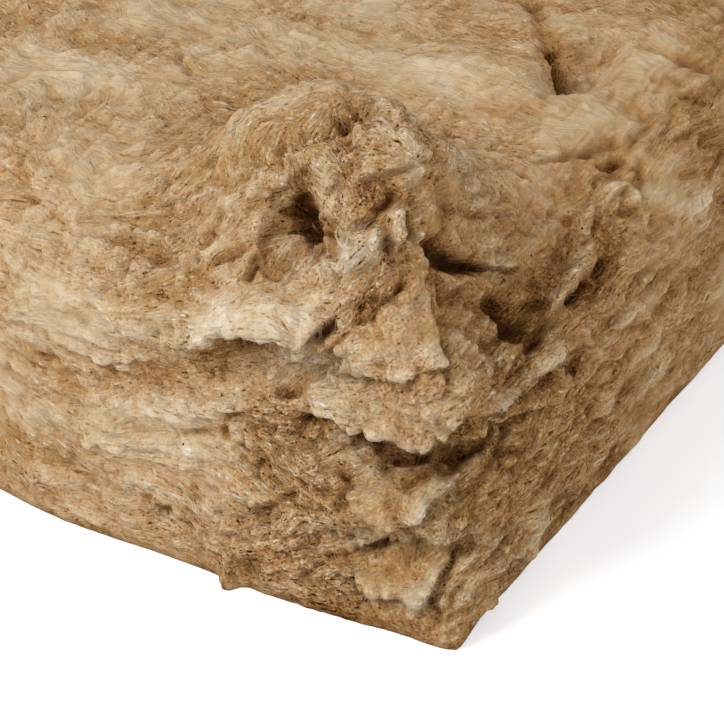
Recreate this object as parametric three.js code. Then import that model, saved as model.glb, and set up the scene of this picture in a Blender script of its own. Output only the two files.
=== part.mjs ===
// Mineral wool insulation batt: one thick, soft slab of stone wool, lying flat.
//
// Millimetres, +Z up. The origin is on the floor under the middle of the slab,
// +X runs along its length and +Y across its width.
// One corner, at +X and -Y, is torn: a tuft stands up from it, the wool beside
// the tuft is dragged down, and the upright corner has split into loose layers.

import * as THREE from 'three';
import { mergeVertices } from 'three/addons/utils/BufferGeometryUtils.js';

// ---- Driving dimensions -------------------------------------------------

const LENGTH = 1200;
const WIDTH = 600;
const THICKNESS = 100;

// The cut edges. The foot stays nearly square, and the top has gone soft.
const FOOT_REACH = 4;
const FOOT_RISE = 4;
const WAIST_REACH = 44;
const CROWN_REACH = 58;
const CROWN_DROP = 32;

// Slow unevenness of the felt.
const TOP_SWELL = 2.5;
const TOP_SWELL_PITCH = 210;
const SIDE_SWELL = 3;
const SIDE_SWELL_PITCH = 330;

// The mesh: close stations near the torn corner, wide ones over the rest.
const TORN_AREA = 170;
const FINE_STEP = 9;
const COARSE_STEP = 60;
const LAYER_STEP = 8;
const FAR_EDGE_CELLS = 4;
const WELD_DISTANCE = 1e-5;

// How square a stroke's bell is: 1 is a plain bell, and more is steeper.
const STROKE_FIRMNESS = 1.4;

const WOOL = { color: 0xa88b64, roughness: 0.96, metalness: 0 };

// Strokes that shape the torn corner. Each one has its centre, given from the
// +X end, from the -Y side and up from the floor, then how far it reaches
// along X, Y and Z, and how far it moves the wool along X, Y and Z.
const strokes = {
  // The tuft that stands up, with its steep side to the end of the slab.
  tuft: { fromEnd: 68, fromSide: 48, height: 96, reach: [32, 27, 40], pull: [0, 0, 25] },
  tuftShoulder: { fromEnd: 38, fromSide: 34, height: 90, reach: [19, 22, 34], pull: [3, -3, 17] },
  tuftFlank: { fromEnd: 62, fromSide: 22, height: 92, reach: [26, 14, 26], pull: [0, -5, 5] },
  // The pit torn into the face of the tuft.
  tuftPit: { fromEnd: 55, fromSide: 20, height: 96, reach: [10, 9, 18], pull: [0, 9, -9] },
  // The wool dragged down between the tuft and the end of the slab.
  hollow: { fromEnd: 12, fromSide: 46, height: 86, reach: [18, 24, 30], pull: [-4, 0, -14] },
  hollowTail: { fromEnd: 8, fromSide: 80, height: 84, reach: [18, 24, 24], pull: [-3, 0, -6] },
  // The rolled lip on the long side and the split under it.
  lip: { fromEnd: 80, fromSide: 4, height: 80, reach: [40, 18, 10], pull: [0, -5, 3] },
  lipSplit: { fromEnd: 52, fromSide: 4, height: 68, reach: [20, 16, 6], pull: [0, 9, 0] },
  // Loose layers of the upright corner: a flake, a split, and so down.
  upperFlake: { fromEnd: 20, fromSide: 14, height: 76, reach: [17, 17, 11], pull: [5, -9, 0] },
  middleFlake: { fromEnd: 14, fromSide: 12, height: 60, reach: [17, 16, 7], pull: [6, -8, 0] },
  middleSplit: { fromEnd: 18, fromSide: 12, height: 48, reach: [26, 26, 6], pull: [-6, 9, 0] },
  lowerFlake: { fromEnd: 18, fromSide: 10, height: 37, reach: [18, 18, 9], pull: [4, -6, 0] },
  lowerSplit: { fromEnd: 24, fromSide: 8, height: 24, reach: [18, 16, 5], pull: [-4, 6, 0] },
  // The foot of the corner stays long and comes to a point.
  footTip: { fromEnd: 2, fromSide: 2, height: 4, reach: [12, 12, 12], pull: [1, -2, 0] },
  // The long side bellies out beside the corner and falls back beyond it.
  sideBelly: { fromEnd: 42, fromSide: 0, height: 10, reach: [36, 30, 36], pull: [0, -4, 0] },
  sideHollow: { fromEnd: 190, fromSide: 0, height: 20, reach: [50, 30, 70], pull: [0, 12, 0] },
  // A slit in the top, and the crest of wool beside it.
  slit: { fromEnd: 42, fromSide: 160, height: 98, reach: [8, 24, 24], pull: [0, 0, -12] },
  slitCrest: { fromEnd: 62, fromSide: 132, height: 98, reach: [28, 22, 24], pull: [0, 0, 6] },
};

// ---- Stations along each direction ---------------------------------------

// Distances from one end, close together up to the fine length, then wide.
function stations(length, fineLength, fineStep, coarseStep) {
  const fine = Math.min(fineLength, length / 2);
  const fineCount = Math.max(1, Math.round(fine / fineStep));
  const coarseCount = Math.max(1, Math.round((length - fine) / coarseStep));
  const places = [];
  for (let i = 0; i < fineCount; i += 1) {
    places.push((fine * i) / fineCount);
  }
  for (let i = 0; i <= coarseCount; i += 1) {
    places.push(fine + ((length - fine) * i) / coarseCount);
  }
  return places;
}

// The far edge needs close stations inside its rounding, as the near one has.
function withFarEdge(places, length, reach) {
  const edgeStart = length - reach;
  const kept = places.filter((place) => place < edgeStart - FINE_STEP);
  for (let i = 0; i <= FAR_EDGE_CELLS; i += 1) {
    kept.push(edgeStart + (reach * i) / FAR_EDGE_CELLS);
  }
  return kept;
}

const alongX = withFarEdge(
  stations(LENGTH, TORN_AREA, FINE_STEP, COARSE_STEP), LENGTH, CROWN_REACH);
const alongY = withFarEdge(
  stations(WIDTH, TORN_AREA, FINE_STEP, COARSE_STEP), WIDTH, CROWN_REACH);
const layers = Math.max(4, Math.round(THICKNESS / LAYER_STEP));

// ---- Soft shaping ----------------------------------------------------------

const smooth = (t) => {
  const clamped = THREE.MathUtils.clamp(t, 0, 1);
  return clamped * clamped * (3 - 2 * clamped);
};

// How far in from a side the rounding starts: little at the foot, most on top.
function edgeReach(height) {
  const share = height / THICKNESS;
  const lower = THREE.MathUtils.lerp(FOOT_REACH, WAIST_REACH, smooth(share * 2));
  return THREE.MathUtils.lerp(lower, CROWN_REACH, smooth(share * 2 - 1));
}

// Moves a point of the square block onto the rounded one. The point is split
// into its place on an inner block and the way out from there, and the way out
// is laid on an ellipsoid.
function roundEdges(point) {
  const reach = edgeReach(point.z);
  const inner = new THREE.Vector3(
    THREE.MathUtils.clamp(point.x, reach - LENGTH / 2, LENGTH / 2 - reach),
    THREE.MathUtils.clamp(point.y, reach - WIDTH / 2, WIDTH / 2 - reach),
    THREE.MathUtils.clamp(point.z, FOOT_RISE, THICKNESS - CROWN_DROP),
  );
  const rise = point.z > inner.z ? CROWN_DROP : FOOT_RISE;
  const radii = new THREE.Vector3(reach, reach, rise);
  const out = point.clone().sub(inner).divide(radii);
  if (out.lengthSq() > 1) {
    point.copy(out.normalize().multiply(radii).add(inner));
  }
}

// A slow swell of the top and the sides, none of it at the floor.
function swell(point) {
  const share = smooth(point.z / THICKNESS);
  const turnX = (2 * Math.PI * point.x) / TOP_SWELL_PITCH;
  const turnY = (2 * Math.PI * point.y) / TOP_SWELL_PITCH;
  const wave = Math.sin(turnX + 1.3 * Math.sin(turnY)) * Math.cos(turnY - 0.6);
  const sideWave = Math.sin((2 * Math.PI * point.x) / SIDE_SWELL_PITCH);
  const endWave = Math.sin((2 * Math.PI * point.y) / SIDE_SWELL_PITCH);
  point.z += TOP_SWELL * share * (wave - 1);
  point.y += SIDE_SWELL * sideWave * (point.y / WIDTH) * share;
  point.x += SIDE_SWELL * endWave * (point.x / LENGTH) * share;
}

// One stroke of the hand: the pull fades as a bell round the stroke's centre.
function applyStroke(point, rest, stroke) {
  const [reachX, reachY, reachZ] = stroke.reach;
  const across = (rest.x - (LENGTH / 2 - stroke.fromEnd)) / reachX;
  const along = (rest.y - (stroke.fromSide - WIDTH / 2)) / reachY;
  const up = (rest.z - stroke.height) / reachZ;
  const spread = across * across + along * along + up * up;
  const strength = Math.exp(-Math.pow(spread, STROKE_FIRMNESS));
  point.addScaledVector(new THREE.Vector3(...stroke.pull), strength);
}

// The foot keeps its height, so that the slab still lies flat on the floor.
function shapePoint(point) {
  roundEdges(point);
  const rest = point.clone();
  swell(point);
  for (const stroke of Object.values(strokes)) {
    applyStroke(point, rest, stroke);
  }
  if (rest.z < FOOT_RISE) {
    point.z = rest.z;
  }
}

// ---- The slab ----------------------------------------------------------------

function slabGeometry() {
  const cellsX = alongX.length - 1;
  const cellsY = alongY.length - 1;
  const block = new THREE.BoxGeometry(1, 1, 1, cellsX, cellsY, layers);
  block.deleteAttribute('normal');
  block.deleteAttribute('uv');
  const geometry = mergeVertices(block, WELD_DISTANCE);
  const position = geometry.attributes.position;
  const point = new THREE.Vector3();
  for (let i = 0; i < position.count; i += 1) {
    point.fromBufferAttribute(position, i);
    const stationX = Math.round((0.5 - point.x) * cellsX);
    const stationY = Math.round((point.y + 0.5) * cellsY);
    point.set(
      LENGTH / 2 - alongX[stationX],
      alongY[stationY] - WIDTH / 2,
      (point.z + 0.5) * THICKNESS,
    );
    shapePoint(point);
    position.setXYZ(i, point.x, point.y, point.z);
  }
  geometry.computeVertexNormals();
  return geometry;
}

const woolBatt = new THREE.Mesh(
  slabGeometry(),
  new THREE.MeshStandardMaterial(WOOL),
);
woolBatt.name = 'wool_batt';

const group = new THREE.Group();
group.add(woolBatt);

export default group;
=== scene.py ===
# %% [markdown]
# # A batt of mineral wool with a torn corner
#
# This lesson dresses one solid: a flat slab of stone wool, 1200 mm long, 600 mm wide and
# 100 mm thick. Stone wool is spun rock. Its fibres fall on a belt in thin layers, so the cut
# sides show flat layers like the pages of a book, and the top is a felt of combed tufts.
# One corner is torn, and that is where most of the work goes.
#
# The imported solid is loaded first. The felt below is built to its form, and the solid itself is
# then hidden.

# %% Load the frame
import itertools
import math

import bmesh
import bpy
import numpy as np
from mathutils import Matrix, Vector
from mathutils.bvhtree import BVHTree
from mathutils.interpolate import poly_3d_calc


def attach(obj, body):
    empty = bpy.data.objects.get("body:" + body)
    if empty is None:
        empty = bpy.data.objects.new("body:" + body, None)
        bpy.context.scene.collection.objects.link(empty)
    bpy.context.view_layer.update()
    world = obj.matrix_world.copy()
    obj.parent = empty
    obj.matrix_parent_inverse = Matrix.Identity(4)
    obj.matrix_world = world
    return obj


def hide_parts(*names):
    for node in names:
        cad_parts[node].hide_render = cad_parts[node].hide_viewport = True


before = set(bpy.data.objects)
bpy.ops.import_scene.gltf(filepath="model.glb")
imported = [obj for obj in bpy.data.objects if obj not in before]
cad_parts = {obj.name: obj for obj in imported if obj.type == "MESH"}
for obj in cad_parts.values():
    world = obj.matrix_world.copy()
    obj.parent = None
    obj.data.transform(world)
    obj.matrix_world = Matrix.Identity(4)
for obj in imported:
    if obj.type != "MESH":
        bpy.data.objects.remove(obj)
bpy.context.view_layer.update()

MM = 0.001
scene = bpy.context.scene

# %% [markdown]
# ## The size of the slab
#
# The solid's own box is a few millimetres larger than the slab, because the torn corner
# reaches past it. So the nominal size is written here.
# Places near the torn corner are given as three distances: from the +X end, from the -Y side
# and up from the floor. That is how a person with a ruler would measure them.

# %% Nominal size
LENGTH = 1200 * MM
WIDTH = 600 * MM
THICKNESS = 100 * MM
TORN_CORNER = Vector((LENGTH / 2, -WIDTH / 2, 0))


def from_corner(from_end, from_side, height):
    """A point given in millimetres from the torn corner, as a point in metres."""
    return Vector((LENGTH / 2 - from_end * MM, from_side * MM - WIDTH / 2, height * MM))


def from_torn_edge(places):
    """How far each place is from the upright edge of the torn corner."""
    return np.linalg.norm(places[:, :2] - np.array(TORN_CORNER.xy), axis=1)


# %% [markdown]
# ## Camera and light
#
# The camera looks down on the torn corner from close by, with a long lens. The slab is dull
# and full of small hollows, so the light matters: a broad lamp from the front left rakes over
# the long side, and a dim, warm world fills the hollows. The end face stays darker.

# %% Camera
SENSOR_WIDTH = 36.0
LENS_LENGTH = 124.3
CAMERA_AZIMUTH = math.radians(28.6)
CAMERA_PITCH = math.radians(28.6)
CAMERA_PLACE = from_corner(-230.3, -474.7, 371.0)

view_direction = Vector((
    -math.cos(CAMERA_PITCH) * math.sin(CAMERA_AZIMUTH),
    math.cos(CAMERA_PITCH) * math.cos(CAMERA_AZIMUTH),
    -math.sin(CAMERA_PITCH),
))
camera = bpy.data.objects.new("camera", bpy.data.cameras.new("camera"))
scene.collection.objects.link(camera)
camera.location = CAMERA_PLACE
camera.rotation_euler = view_direction.to_track_quat("-Z", "Y").to_euler()
camera.data.sensor_width = SENSOR_WIDTH
camera.data.lens = LENS_LENGTH
scene.camera = camera
print("camera at", tuple(round(v, 3) for v in camera.location))


# %% Lamps
KEY_PLACE = (-0.65, -2.1, 1.9)
KEY_TARGET = (0.3, -0.1, 0)
KEY_SIZE = 1.1
KEY_WATTS = 50
SIDE_PLACE = (2.4, -0.9, 0.9)
SIDE_TARGET = (0.5, -0.2, 0)
SIDE_SIZE = 1.0
SIDE_WATTS = 11


def add_lamp(name, place, target, size, watts):
    """A square area lamp at place, facing target."""
    light = bpy.data.lights.new(name, "AREA")
    light.size = size
    light.energy = watts
    lamp = bpy.data.objects.new(name, light)
    scene.collection.objects.link(lamp)
    lamp.location = place
    lamp.rotation_euler = (Vector(target) - Vector(place)).to_track_quat("-Z", "Y").to_euler()


add_lamp("key", KEY_PLACE, KEY_TARGET, KEY_SIZE, KEY_WATTS)
add_lamp("side", SIDE_PLACE, SIDE_TARGET, SIDE_SIZE, SIDE_WATTS)
scene.view_settings.view_transform = "Standard"

# %% [markdown]
# ## World, floor and white background
#
# The world and the floor look white to the camera, but they light the slab at a plain level.
# Light Path tells the two apart: a ray that comes straight from the camera sees plain white,
# and every other ray gets the dim fill, which is warm, because a hollow in the wool is lit by
# light that has met other wool. The floor adds only part of its brightness that way, so it
# still takes the slab's shadow, and the glow is a little blue to keep that shadow grey. Far
# from the slab, where the lamps no longer reach, the glow grows, so the floor stays white.

# %% World
FILL_STRENGTH = 0.57
FILL_COLOUR = (1, 0.93, 0.81, 1)
BACKGROUND_WHITE = 1.0

world = bpy.data.worlds.new("studio")
scene.world = world
world.use_nodes = True
world.node_tree.nodes.clear()


def add_node(tree, kind, place, **settings):
    """A node of one kind. Its settings are attributes, and a dict called inputs sets sockets."""
    node = tree.nodes.new(kind)
    node.location = place
    for name, value in settings.pop("inputs", {}).items():
        node.inputs[name].default_value = value
    for name, value in settings.items():
        setattr(node, name, value)
    return node


def seen_directly(tree, place):
    """A mask that is 1 for rays from the camera, and for those that a gloss or glass sends on."""
    path = add_node(tree, "ShaderNodeLightPath", place)
    first = add_node(tree, "ShaderNodeMath", (place[0] + 200, place[1]), operation="MAXIMUM")
    both = add_node(tree, "ShaderNodeMath", (place[0] + 400, place[1]), operation="MAXIMUM")
    tree.links.new(path.outputs["Is Camera Ray"], first.inputs[0])
    tree.links.new(path.outputs["Is Glossy Ray"], first.inputs[1])
    tree.links.new(first.outputs[0], both.inputs[0])
    tree.links.new(path.outputs["Is Transmission Ray"], both.inputs[1])
    return both.outputs[0]


fill = add_node(world.node_tree, "ShaderNodeBackground", (0, 100),
                inputs={"Color": FILL_COLOUR, "Strength": FILL_STRENGTH})
white = add_node(world.node_tree, "ShaderNodeBackground", (0, -100),
                 inputs={"Color": (1, 1, 1, 1), "Strength": BACKGROUND_WHITE})
choose = add_node(world.node_tree, "ShaderNodeMixShader", (300, 0))
world_out = add_node(world.node_tree, "ShaderNodeOutputWorld", (500, 0))
world.node_tree.links.new(seen_directly(world.node_tree, (-700, 300)), choose.inputs[0])
world.node_tree.links.new(fill.outputs[0], choose.inputs[1])
world.node_tree.links.new(white.outputs[0], choose.inputs[2])
world.node_tree.links.new(choose.outputs[0], world_out.inputs[0])

# %% Floor
FLOOR_HALF_WIDTH = 30
FLOOR_COLOUR = (0.85, 0.85, 0.85, 1)
FLOOR_GLOW = 0.45
FAR_FLOOR_GLOW = 0.6
FAR_FLOOR_START = 1.5
FAR_FLOOR_END = 4
FLOOR_GLOW_COLOUR = (0.95, 1, 1.1, 1)

floor_mesh = bpy.data.meshes.new("floor")
bm = bmesh.new()
bmesh.ops.create_grid(bm, x_segments=1, y_segments=1, size=FLOOR_HALF_WIDTH)
bm.to_mesh(floor_mesh)
bm.free()
floor = bpy.data.objects.new("floor", floor_mesh)
scene.collection.objects.link(floor)
floor_paint = bpy.data.materials.new("floor_paint")
floor_paint.use_nodes = True
tree = floor_paint.node_tree
floor_shader = tree.nodes["Principled BSDF"]
floor_shader.inputs["Base Color"].default_value = FLOOR_COLOUR
floor_shader.inputs["Roughness"].default_value = 1
floor_shader.inputs["Specular IOR Level"].default_value = 0
floor_place = add_node(tree, "ShaderNodeTexCoord", (-600, -300))
from_middle = add_node(tree, "ShaderNodeVectorMath", (-400, -300), operation="LENGTH")
brightness = add_node(tree, "ShaderNodeMapRange", (-200, -300),
                      inputs={"From Min": FAR_FLOOR_START, "From Max": FAR_FLOOR_END,
                              "To Min": FLOOR_GLOW, "To Max": FAR_FLOOR_GLOW})
glow = add_node(tree, "ShaderNodeEmission", (0, -300), inputs={"Color": FLOOR_GLOW_COLOUR})
tree.links.new(floor_place.outputs["Object"], from_middle.inputs[0])
tree.links.new(from_middle.outputs["Value"], brightness.inputs["Value"])
tree.links.new(brightness.outputs[0], glow.inputs["Strength"])
added = add_node(tree, "ShaderNodeAddShader", (300, -100))
floor_choice = add_node(tree, "ShaderNodeMixShader", (500, 0))
tree.links.new(floor_shader.outputs[0], added.inputs[0])
tree.links.new(glow.outputs[0], added.inputs[1])
tree.links.new(seen_directly(tree, (-600, 300)), floor_choice.inputs[0])
tree.links.new(floor_shader.outputs[0], floor_choice.inputs[1])
tree.links.new(added.outputs[0], floor_choice.inputs[2])
tree.links.new(floor_choice.outputs[0], tree.nodes["Material Output"].inputs[0])
floor_mesh.materials.append(floor_paint)

# %% [markdown]
# ## Two blocks with small faces where they are seen close
#
# A felt has to be modelled in its faces, because its lumps throw shadows. Faces of 1 mm all
# over would be millions. So the whole slab is divided again and again, each time within a
# shorter distance of the torn corner, and the corner itself gets a block of its own with the
# smallest faces. Both blocks go through the same shaping, so they show one surface. A
# Multires modifier could divide the slab too, but it divides every face alike.

# %% Divide the blocks
START_CELL = 40 * MM
EVERYWHERE = None
ZONE_REACHES = (EVERYWHERE, EVERYWHERE, EVERYWHERE, 330 * MM, 245 * MM)
CORNER_LENGTH = 168 * MM
CORNER_WIDTH = 190 * MM
CORNER_CELL = 13.4 * MM
CORNER_HALVINGS = 4
FLOOR_LEVEL = 1e-6
COVERED = 32 * MM


def cut_across(mesh, axis, spacing, low, high):
    """Cuts the whole mesh by planes square to one axis, at an even spacing."""
    count = round((high - low) / spacing)
    for i in range(1, count):
        normal = Vector((0, 0, 0))
        normal[axis] = 1
        place = Vector((0, 0, 0))
        place[axis] = low + (high - low) * i / count
        parts = mesh.verts[:] + mesh.edges[:] + mesh.faces[:]
        bmesh.ops.bisect_plane(mesh, geom=parts, plane_co=place, plane_no=normal)


def cut_block(low, high, cell):
    """A block between two corners, cut into cells of about one size."""
    mesh = bmesh.new()
    bmesh.ops.create_cube(mesh, size=1)
    bmesh.ops.scale(mesh, vec=high - low, verts=mesh.verts)
    bmesh.ops.translate(mesh, vec=(low + high) / 2, verts=mesh.verts)
    for axis in range(3):
        cut_across(mesh, axis, cell, low[axis], high[axis])
    return mesh


def halve_faces(mesh, wanted):
    """Divides each face that the test wants into four."""
    chosen = set()
    for face in mesh.faces:
        if wanted(face.calc_center_median()):
            chosen.update(face.edges)
    bmesh.ops.subdivide_edges(mesh, edges=list(chosen), cuts=1, use_grid_fill=True)


def inside_corner(points):
    """How far each point of a block lies inside the corner's block, seen from above."""
    from_end = LENGTH / 2 - points[:, 0]
    from_side = points[:, 1] + WIDTH / 2
    return np.minimum(CORNER_LENGTH - from_end, CORNER_WIDTH - from_side)


def slab_block():
    """The whole slab, with smaller faces near the torn corner and wide ones underneath."""
    mesh = cut_block(Vector((-LENGTH / 2, -WIDTH / 2, 0)),
                     Vector((LENGTH / 2, WIDTH / 2, THICKNESS)), START_CELL)
    for reach in ZONE_REACHES:
        halve_faces(mesh, lambda centre: centre.z > FLOOR_LEVEL and (
            reach is EVERYWHERE
            or ((centre.xy - TORN_CORNER.xy).length < reach
                and inside_corner(np.array(centre)[None])[0] < COVERED)))
    return mesh


def corner_block():
    """The torn corner, with small faces on its three outer sides."""
    low = TORN_CORNER - Vector((CORNER_LENGTH, 0, 0))
    high = TORN_CORNER + Vector((0, CORNER_WIDTH, THICKNESS))
    mesh = cut_block(low, high, CORNER_CELL)
    for _ in range(CORNER_HALVINGS):
        halve_faces(mesh, lambda centre: (
            high.x - centre.x < FLOOR_LEVEL or centre.y - low.y < FLOOR_LEVEL
            or high.z - centre.z < FLOOR_LEVEL))
    return mesh


slab_mesh = slab_block()
corner_mesh = corner_block()
print("slab block:", len(slab_mesh.verts), "points,", len(slab_mesh.faces), "faces")
print("corner block:", len(corner_mesh.verts), "points,", len(corner_mesh.faces), "faces")

# %% [markdown]
# ## Rounding and strokes
#
# The block now takes the solid's own form. Its top edges are rounded, more at the crown than
# at the foot. Then come strokes: each one is a soft pull at one place, as a hand pulls wool.
# The first ones are the solid's own, and the later ones are finer and are made only here.

# %% Rounding
FOOT_REACH = 4 * MM
FOOT_RISE = 4 * MM
WAIST_REACH = 44 * MM
CROWN_REACH = 58 * MM
CROWN_DROP = 32 * MM
TOP_SWELL = 2.5 * MM
TOP_SWELL_PITCH = 210 * MM
SIDE_SWELL = 3 * MM
SIDE_SWELL_PITCH = 330 * MM
SWELL_BEND = 1.3
SWELL_SHIFT = 0.6


def smooth_step(values):
    """0 below 0, 1 above 1, and an even S between them."""
    t = np.clip(values, 0, 1)
    return t * t * (3 - 2 * t)


def bell(distance, reach):
    """1 at no distance, fading smoothly to almost nothing at twice the reach."""
    return np.exp(-(distance / reach) ** 2)


def rounded(points):
    """Lays the block's edges on ellipsoids, as the solid does."""
    share = points[:, 2] / THICKNESS
    lower = FOOT_REACH + (WAIST_REACH - FOOT_REACH) * smooth_step(share * 2)
    reach = lower + (CROWN_REACH - lower) * smooth_step(share * 2 - 1)
    inner = np.empty_like(points)
    inner[:, 0] = np.clip(points[:, 0], reach - LENGTH / 2, LENGTH / 2 - reach)
    inner[:, 1] = np.clip(points[:, 1], reach - WIDTH / 2, WIDTH / 2 - reach)
    inner[:, 2] = np.clip(points[:, 2], FOOT_RISE, THICKNESS - CROWN_DROP)
    rise = np.where(points[:, 2] > inner[:, 2], CROWN_DROP, FOOT_RISE)
    radii = np.stack([reach, reach, rise], axis=1)
    out = (points - inner) / radii
    size = np.maximum(np.linalg.norm(out, axis=1), 1)[:, None]
    return inner + out / size * radii


def swelled(points):
    """A slow unevenness of the top and sides, none of it at the floor."""
    share = smooth_step(points[:, 2] / THICKNESS)
    turn_x = 2 * np.pi * points[:, 0] / TOP_SWELL_PITCH
    turn_y = 2 * np.pi * points[:, 1] / TOP_SWELL_PITCH
    wave = np.sin(turn_x + SWELL_BEND * np.sin(turn_y)) * np.cos(turn_y - SWELL_SHIFT)
    side_wave = np.sin(2 * np.pi * points[:, 0] / SIDE_SWELL_PITCH)
    end_wave = np.sin(2 * np.pi * points[:, 1] / SIDE_SWELL_PITCH)
    moved = points.copy()
    moved[:, 2] += TOP_SWELL * share * (wave - 1)
    moved[:, 1] += SIDE_SWELL * side_wave * points[:, 1] / WIDTH * share
    moved[:, 0] += SIDE_SWELL * end_wave * points[:, 0] / LENGTH * share
    return moved


# %% Strokes of the solid
# Each row: distance from the end, from the side and from the floor; reach along X, Y and Z;
# and pull along X, Y and Z, all in millimetres.
SOLID_STROKES = {
    "tuft": (68, 48, 96, 32, 27, 40, 0, 0, 25),
    "tuft shoulder": (38, 34, 90, 19, 22, 34, 3, -3, 17),
    "tuft flank": (62, 22, 92, 26, 14, 26, 0, -5, 5),
    "tuft pit": (55, 20, 96, 10, 9, 18, 0, 9, -9),
    "hollow": (12, 46, 86, 18, 24, 30, -4, 0, -14),
    "hollow tail": (8, 80, 84, 18, 24, 24, -3, 0, -6),
    "lip": (80, 4, 80, 40, 18, 10, 0, -5, 3),
    "lip split": (52, 4, 68, 20, 16, 6, 0, 9, 0),
    "upper flake": (20, 14, 76, 17, 17, 11, 5, -9, 0),
    "middle flake": (14, 12, 60, 17, 16, 7, 6, -8, 0),
    "middle split": (18, 12, 48, 26, 26, 6, -6, 9, 0),
    "lower flake": (18, 10, 37, 18, 18, 9, 4, -6, 0),
    "lower split": (24, 8, 24, 18, 16, 5, -4, 6, 0),
    "foot tip": (2, 2, 4, 12, 12, 12, 1, -2, 0),
    "side belly": (42, 0, 10, 36, 30, 36, 0, -4, 0),
    "side hollow": (190, 0, 20, 50, 30, 70, 0, 12, 0),
    "slit": (42, 160, 98, 8, 24, 24, 0, 0, -12),
    "slit crest": (62, 132, 98, 28, 22, 24, 0, 0, 6),
}
STROKE_FIRMNESS = 1.4

# Finer strokes, made only here, in the same columns.
FINE_STROKES = {
    "foot nub": (67, -1, 2, 3, 6, 7, 0, -5, 0),
}


def stroked(points, rest, strokes):
    """Adds each stroke's pull, which fades as a bell round the stroke's centre."""
    moved = points.copy()
    for row in strokes.values():
        centre = np.array(from_corner(*row[0:3]))
        reach = np.array(row[3:6]) * MM
        pull = np.array(row[6:9]) * MM
        spread = (((rest - centre) / reach) ** 2).sum(axis=1)
        moved += np.exp(-spread ** STROKE_FIRMNESS)[:, None] * pull
    return moved


# %% [markdown]
# ## Noise for the felt
#
# Every lump and streak comes from one kind of noise: smooth random hills that a lattice of
# random slopes makes. It is written for whole arrays of points, so that a hundred thousand
# points take a fraction of a second. The random slopes have a fixed seed, so each run is the
# same.

# %% Noise
LATTICE = 256
NOISE_GAIN = 1.6
dice = np.random.default_rng(11)
SHUFFLE = np.tile(dice.permutation(LATTICE), 3)
SLOPES = dice.normal(size=(LATTICE, 3))
SLOPES /= np.linalg.norm(SLOPES, axis=1)[:, None]


def noise(places):
    """Smooth noise at many places, about -1 to 1, with hills one unit apart."""
    cell = np.floor(places).astype(np.int64)
    local = places - cell
    cell %= LATTICE
    ease = local ** 3 * (local * (local * 6 - 15) + 10)
    total = np.zeros(len(places))
    for step in itertools.product((0, 1), repeat=3):
        corner = (cell + step) % LATTICE
        index = SHUFFLE[SHUFFLE[SHUFFLE[corner[:, 0]] + corner[:, 1]] + corner[:, 2]]
        offset = local - step
        rise = (SLOPES[index] * offset).sum(axis=1)
        weight = np.where(step, ease, 1 - ease).prod(axis=1)
        total += rise * weight
    return total * NOISE_GAIN


def noise_vector(places):
    """Three separate noises, for pushing places about."""
    return np.stack([noise(places + shift) for shift in (0, 37.2, 91.7)], axis=1)


def layered_noise(places, layers):
    """Noise with finer and weaker noise on top."""
    total = np.zeros(len(places))
    strength = 1.0
    for layer in range(layers):
        total += strength * noise(places * 2 ** layer + 13.1 * layer)
        strength *= 0.5
    return total


# %% [markdown]
# ## Flakes
#
# Torn wool comes apart in flat flakes. The whole space is filled with flakes, each one round
# its own random centre, and a place belongs to the flake whose centre is nearest. The space
# is squeezed in height, so the flakes lie flat: the sides show their thin edges, and the top
# shows their broad faces. Each flake has its own level and tilt, which makes small steps
# where one flake ends and the next begins.

# %% Flake noise
JITTER = dice.random((LATTICE, 3))
LEVEL = dice.random(LATTICE)
TILT = dice.normal(size=(LATTICE, 3))


def flakes(places):
    """The level, the tilt and the nearness to its edge of the flake at each place."""
    cell = np.floor(places).astype(np.int64)
    count = len(places)
    nearest = np.full(count, 9.0)
    second = np.full(count, 9.0)
    owner = np.zeros(count, dtype=np.int64)
    offset_in = np.zeros((count, 3))
    for step in itertools.product((-1, 0, 1), repeat=3):
        neighbour = (cell + step) % LATTICE
        index = SHUFFLE[SHUFFLE[SHUFFLE[neighbour[:, 0]] + neighbour[:, 1]] + neighbour[:, 2]]
        offset = places - (cell + step) - JITTER[index]
        distance = np.sqrt((offset ** 2).sum(axis=1))
        closer = distance < nearest
        second = np.where(closer, nearest, np.minimum(second, distance))
        nearest = np.where(closer, distance, nearest)
        owner = np.where(closer, index, owner)
        offset_in = np.where(closer[:, None], offset, offset_in)
    tilt = (offset_in * TILT[owner]).sum(axis=1)
    return LEVEL[owner], tilt, second - nearest


# %% [markdown]
# ## Which way the fibres run
#
# On a cut side the fibres lie level, along the side. On the top they follow the length of the
# slab, but the comb of the belt has turned them here and there. On the torn tuft they have
# been dragged up, across the slab, and down the torn corner they rise a little. One function
# gives this direction for any point, and both the relief and the loose fibres use it. On the
# end face all fibres run level, so there the noise is simply stretched along Y.

# %% Fibre direction
TOP_TURN = 0.45
TOP_TURN_PITCH = 70 * MM
FAR_TURN = 0.4
FAR_START = 60 * MM
FAR_RUN = 90 * MM
TUFT_CENTRE = from_corner(62, 34, 100)
TUFT_REACH = 46 * MM
TUFT_TURN = math.radians(80)
STEEP_START = 0.85
STEEP_RUN = 0.5
DRAG = 0.6
DRAG_REACH = 34 * MM
WIDE_CURL = 0.8
WIDE_CURL_PITCH = 22 * MM
SMALL_CURL = 0.7
SMALL_CURL_PITCH = 9 * MM
END_CALM = 0.7
END_START = 34 * MM
END_RUN = 24 * MM
END_STRETCH = 2.2
END_THICKNESS = 1.2
END_WAVE = 2.5 * MM
END_WAVE_PITCH = 15 * MM


def unit(vectors):
    """Vectors of length one."""
    return vectors / np.maximum(np.linalg.norm(vectors, axis=1), 1e-9)[:, None]


def end_share(places):
    """1 on the +X end face, fading to 0 round its edges."""
    return smooth_step((places[:, 0] - LENGTH / 2 + END_START) / END_RUN)


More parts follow.
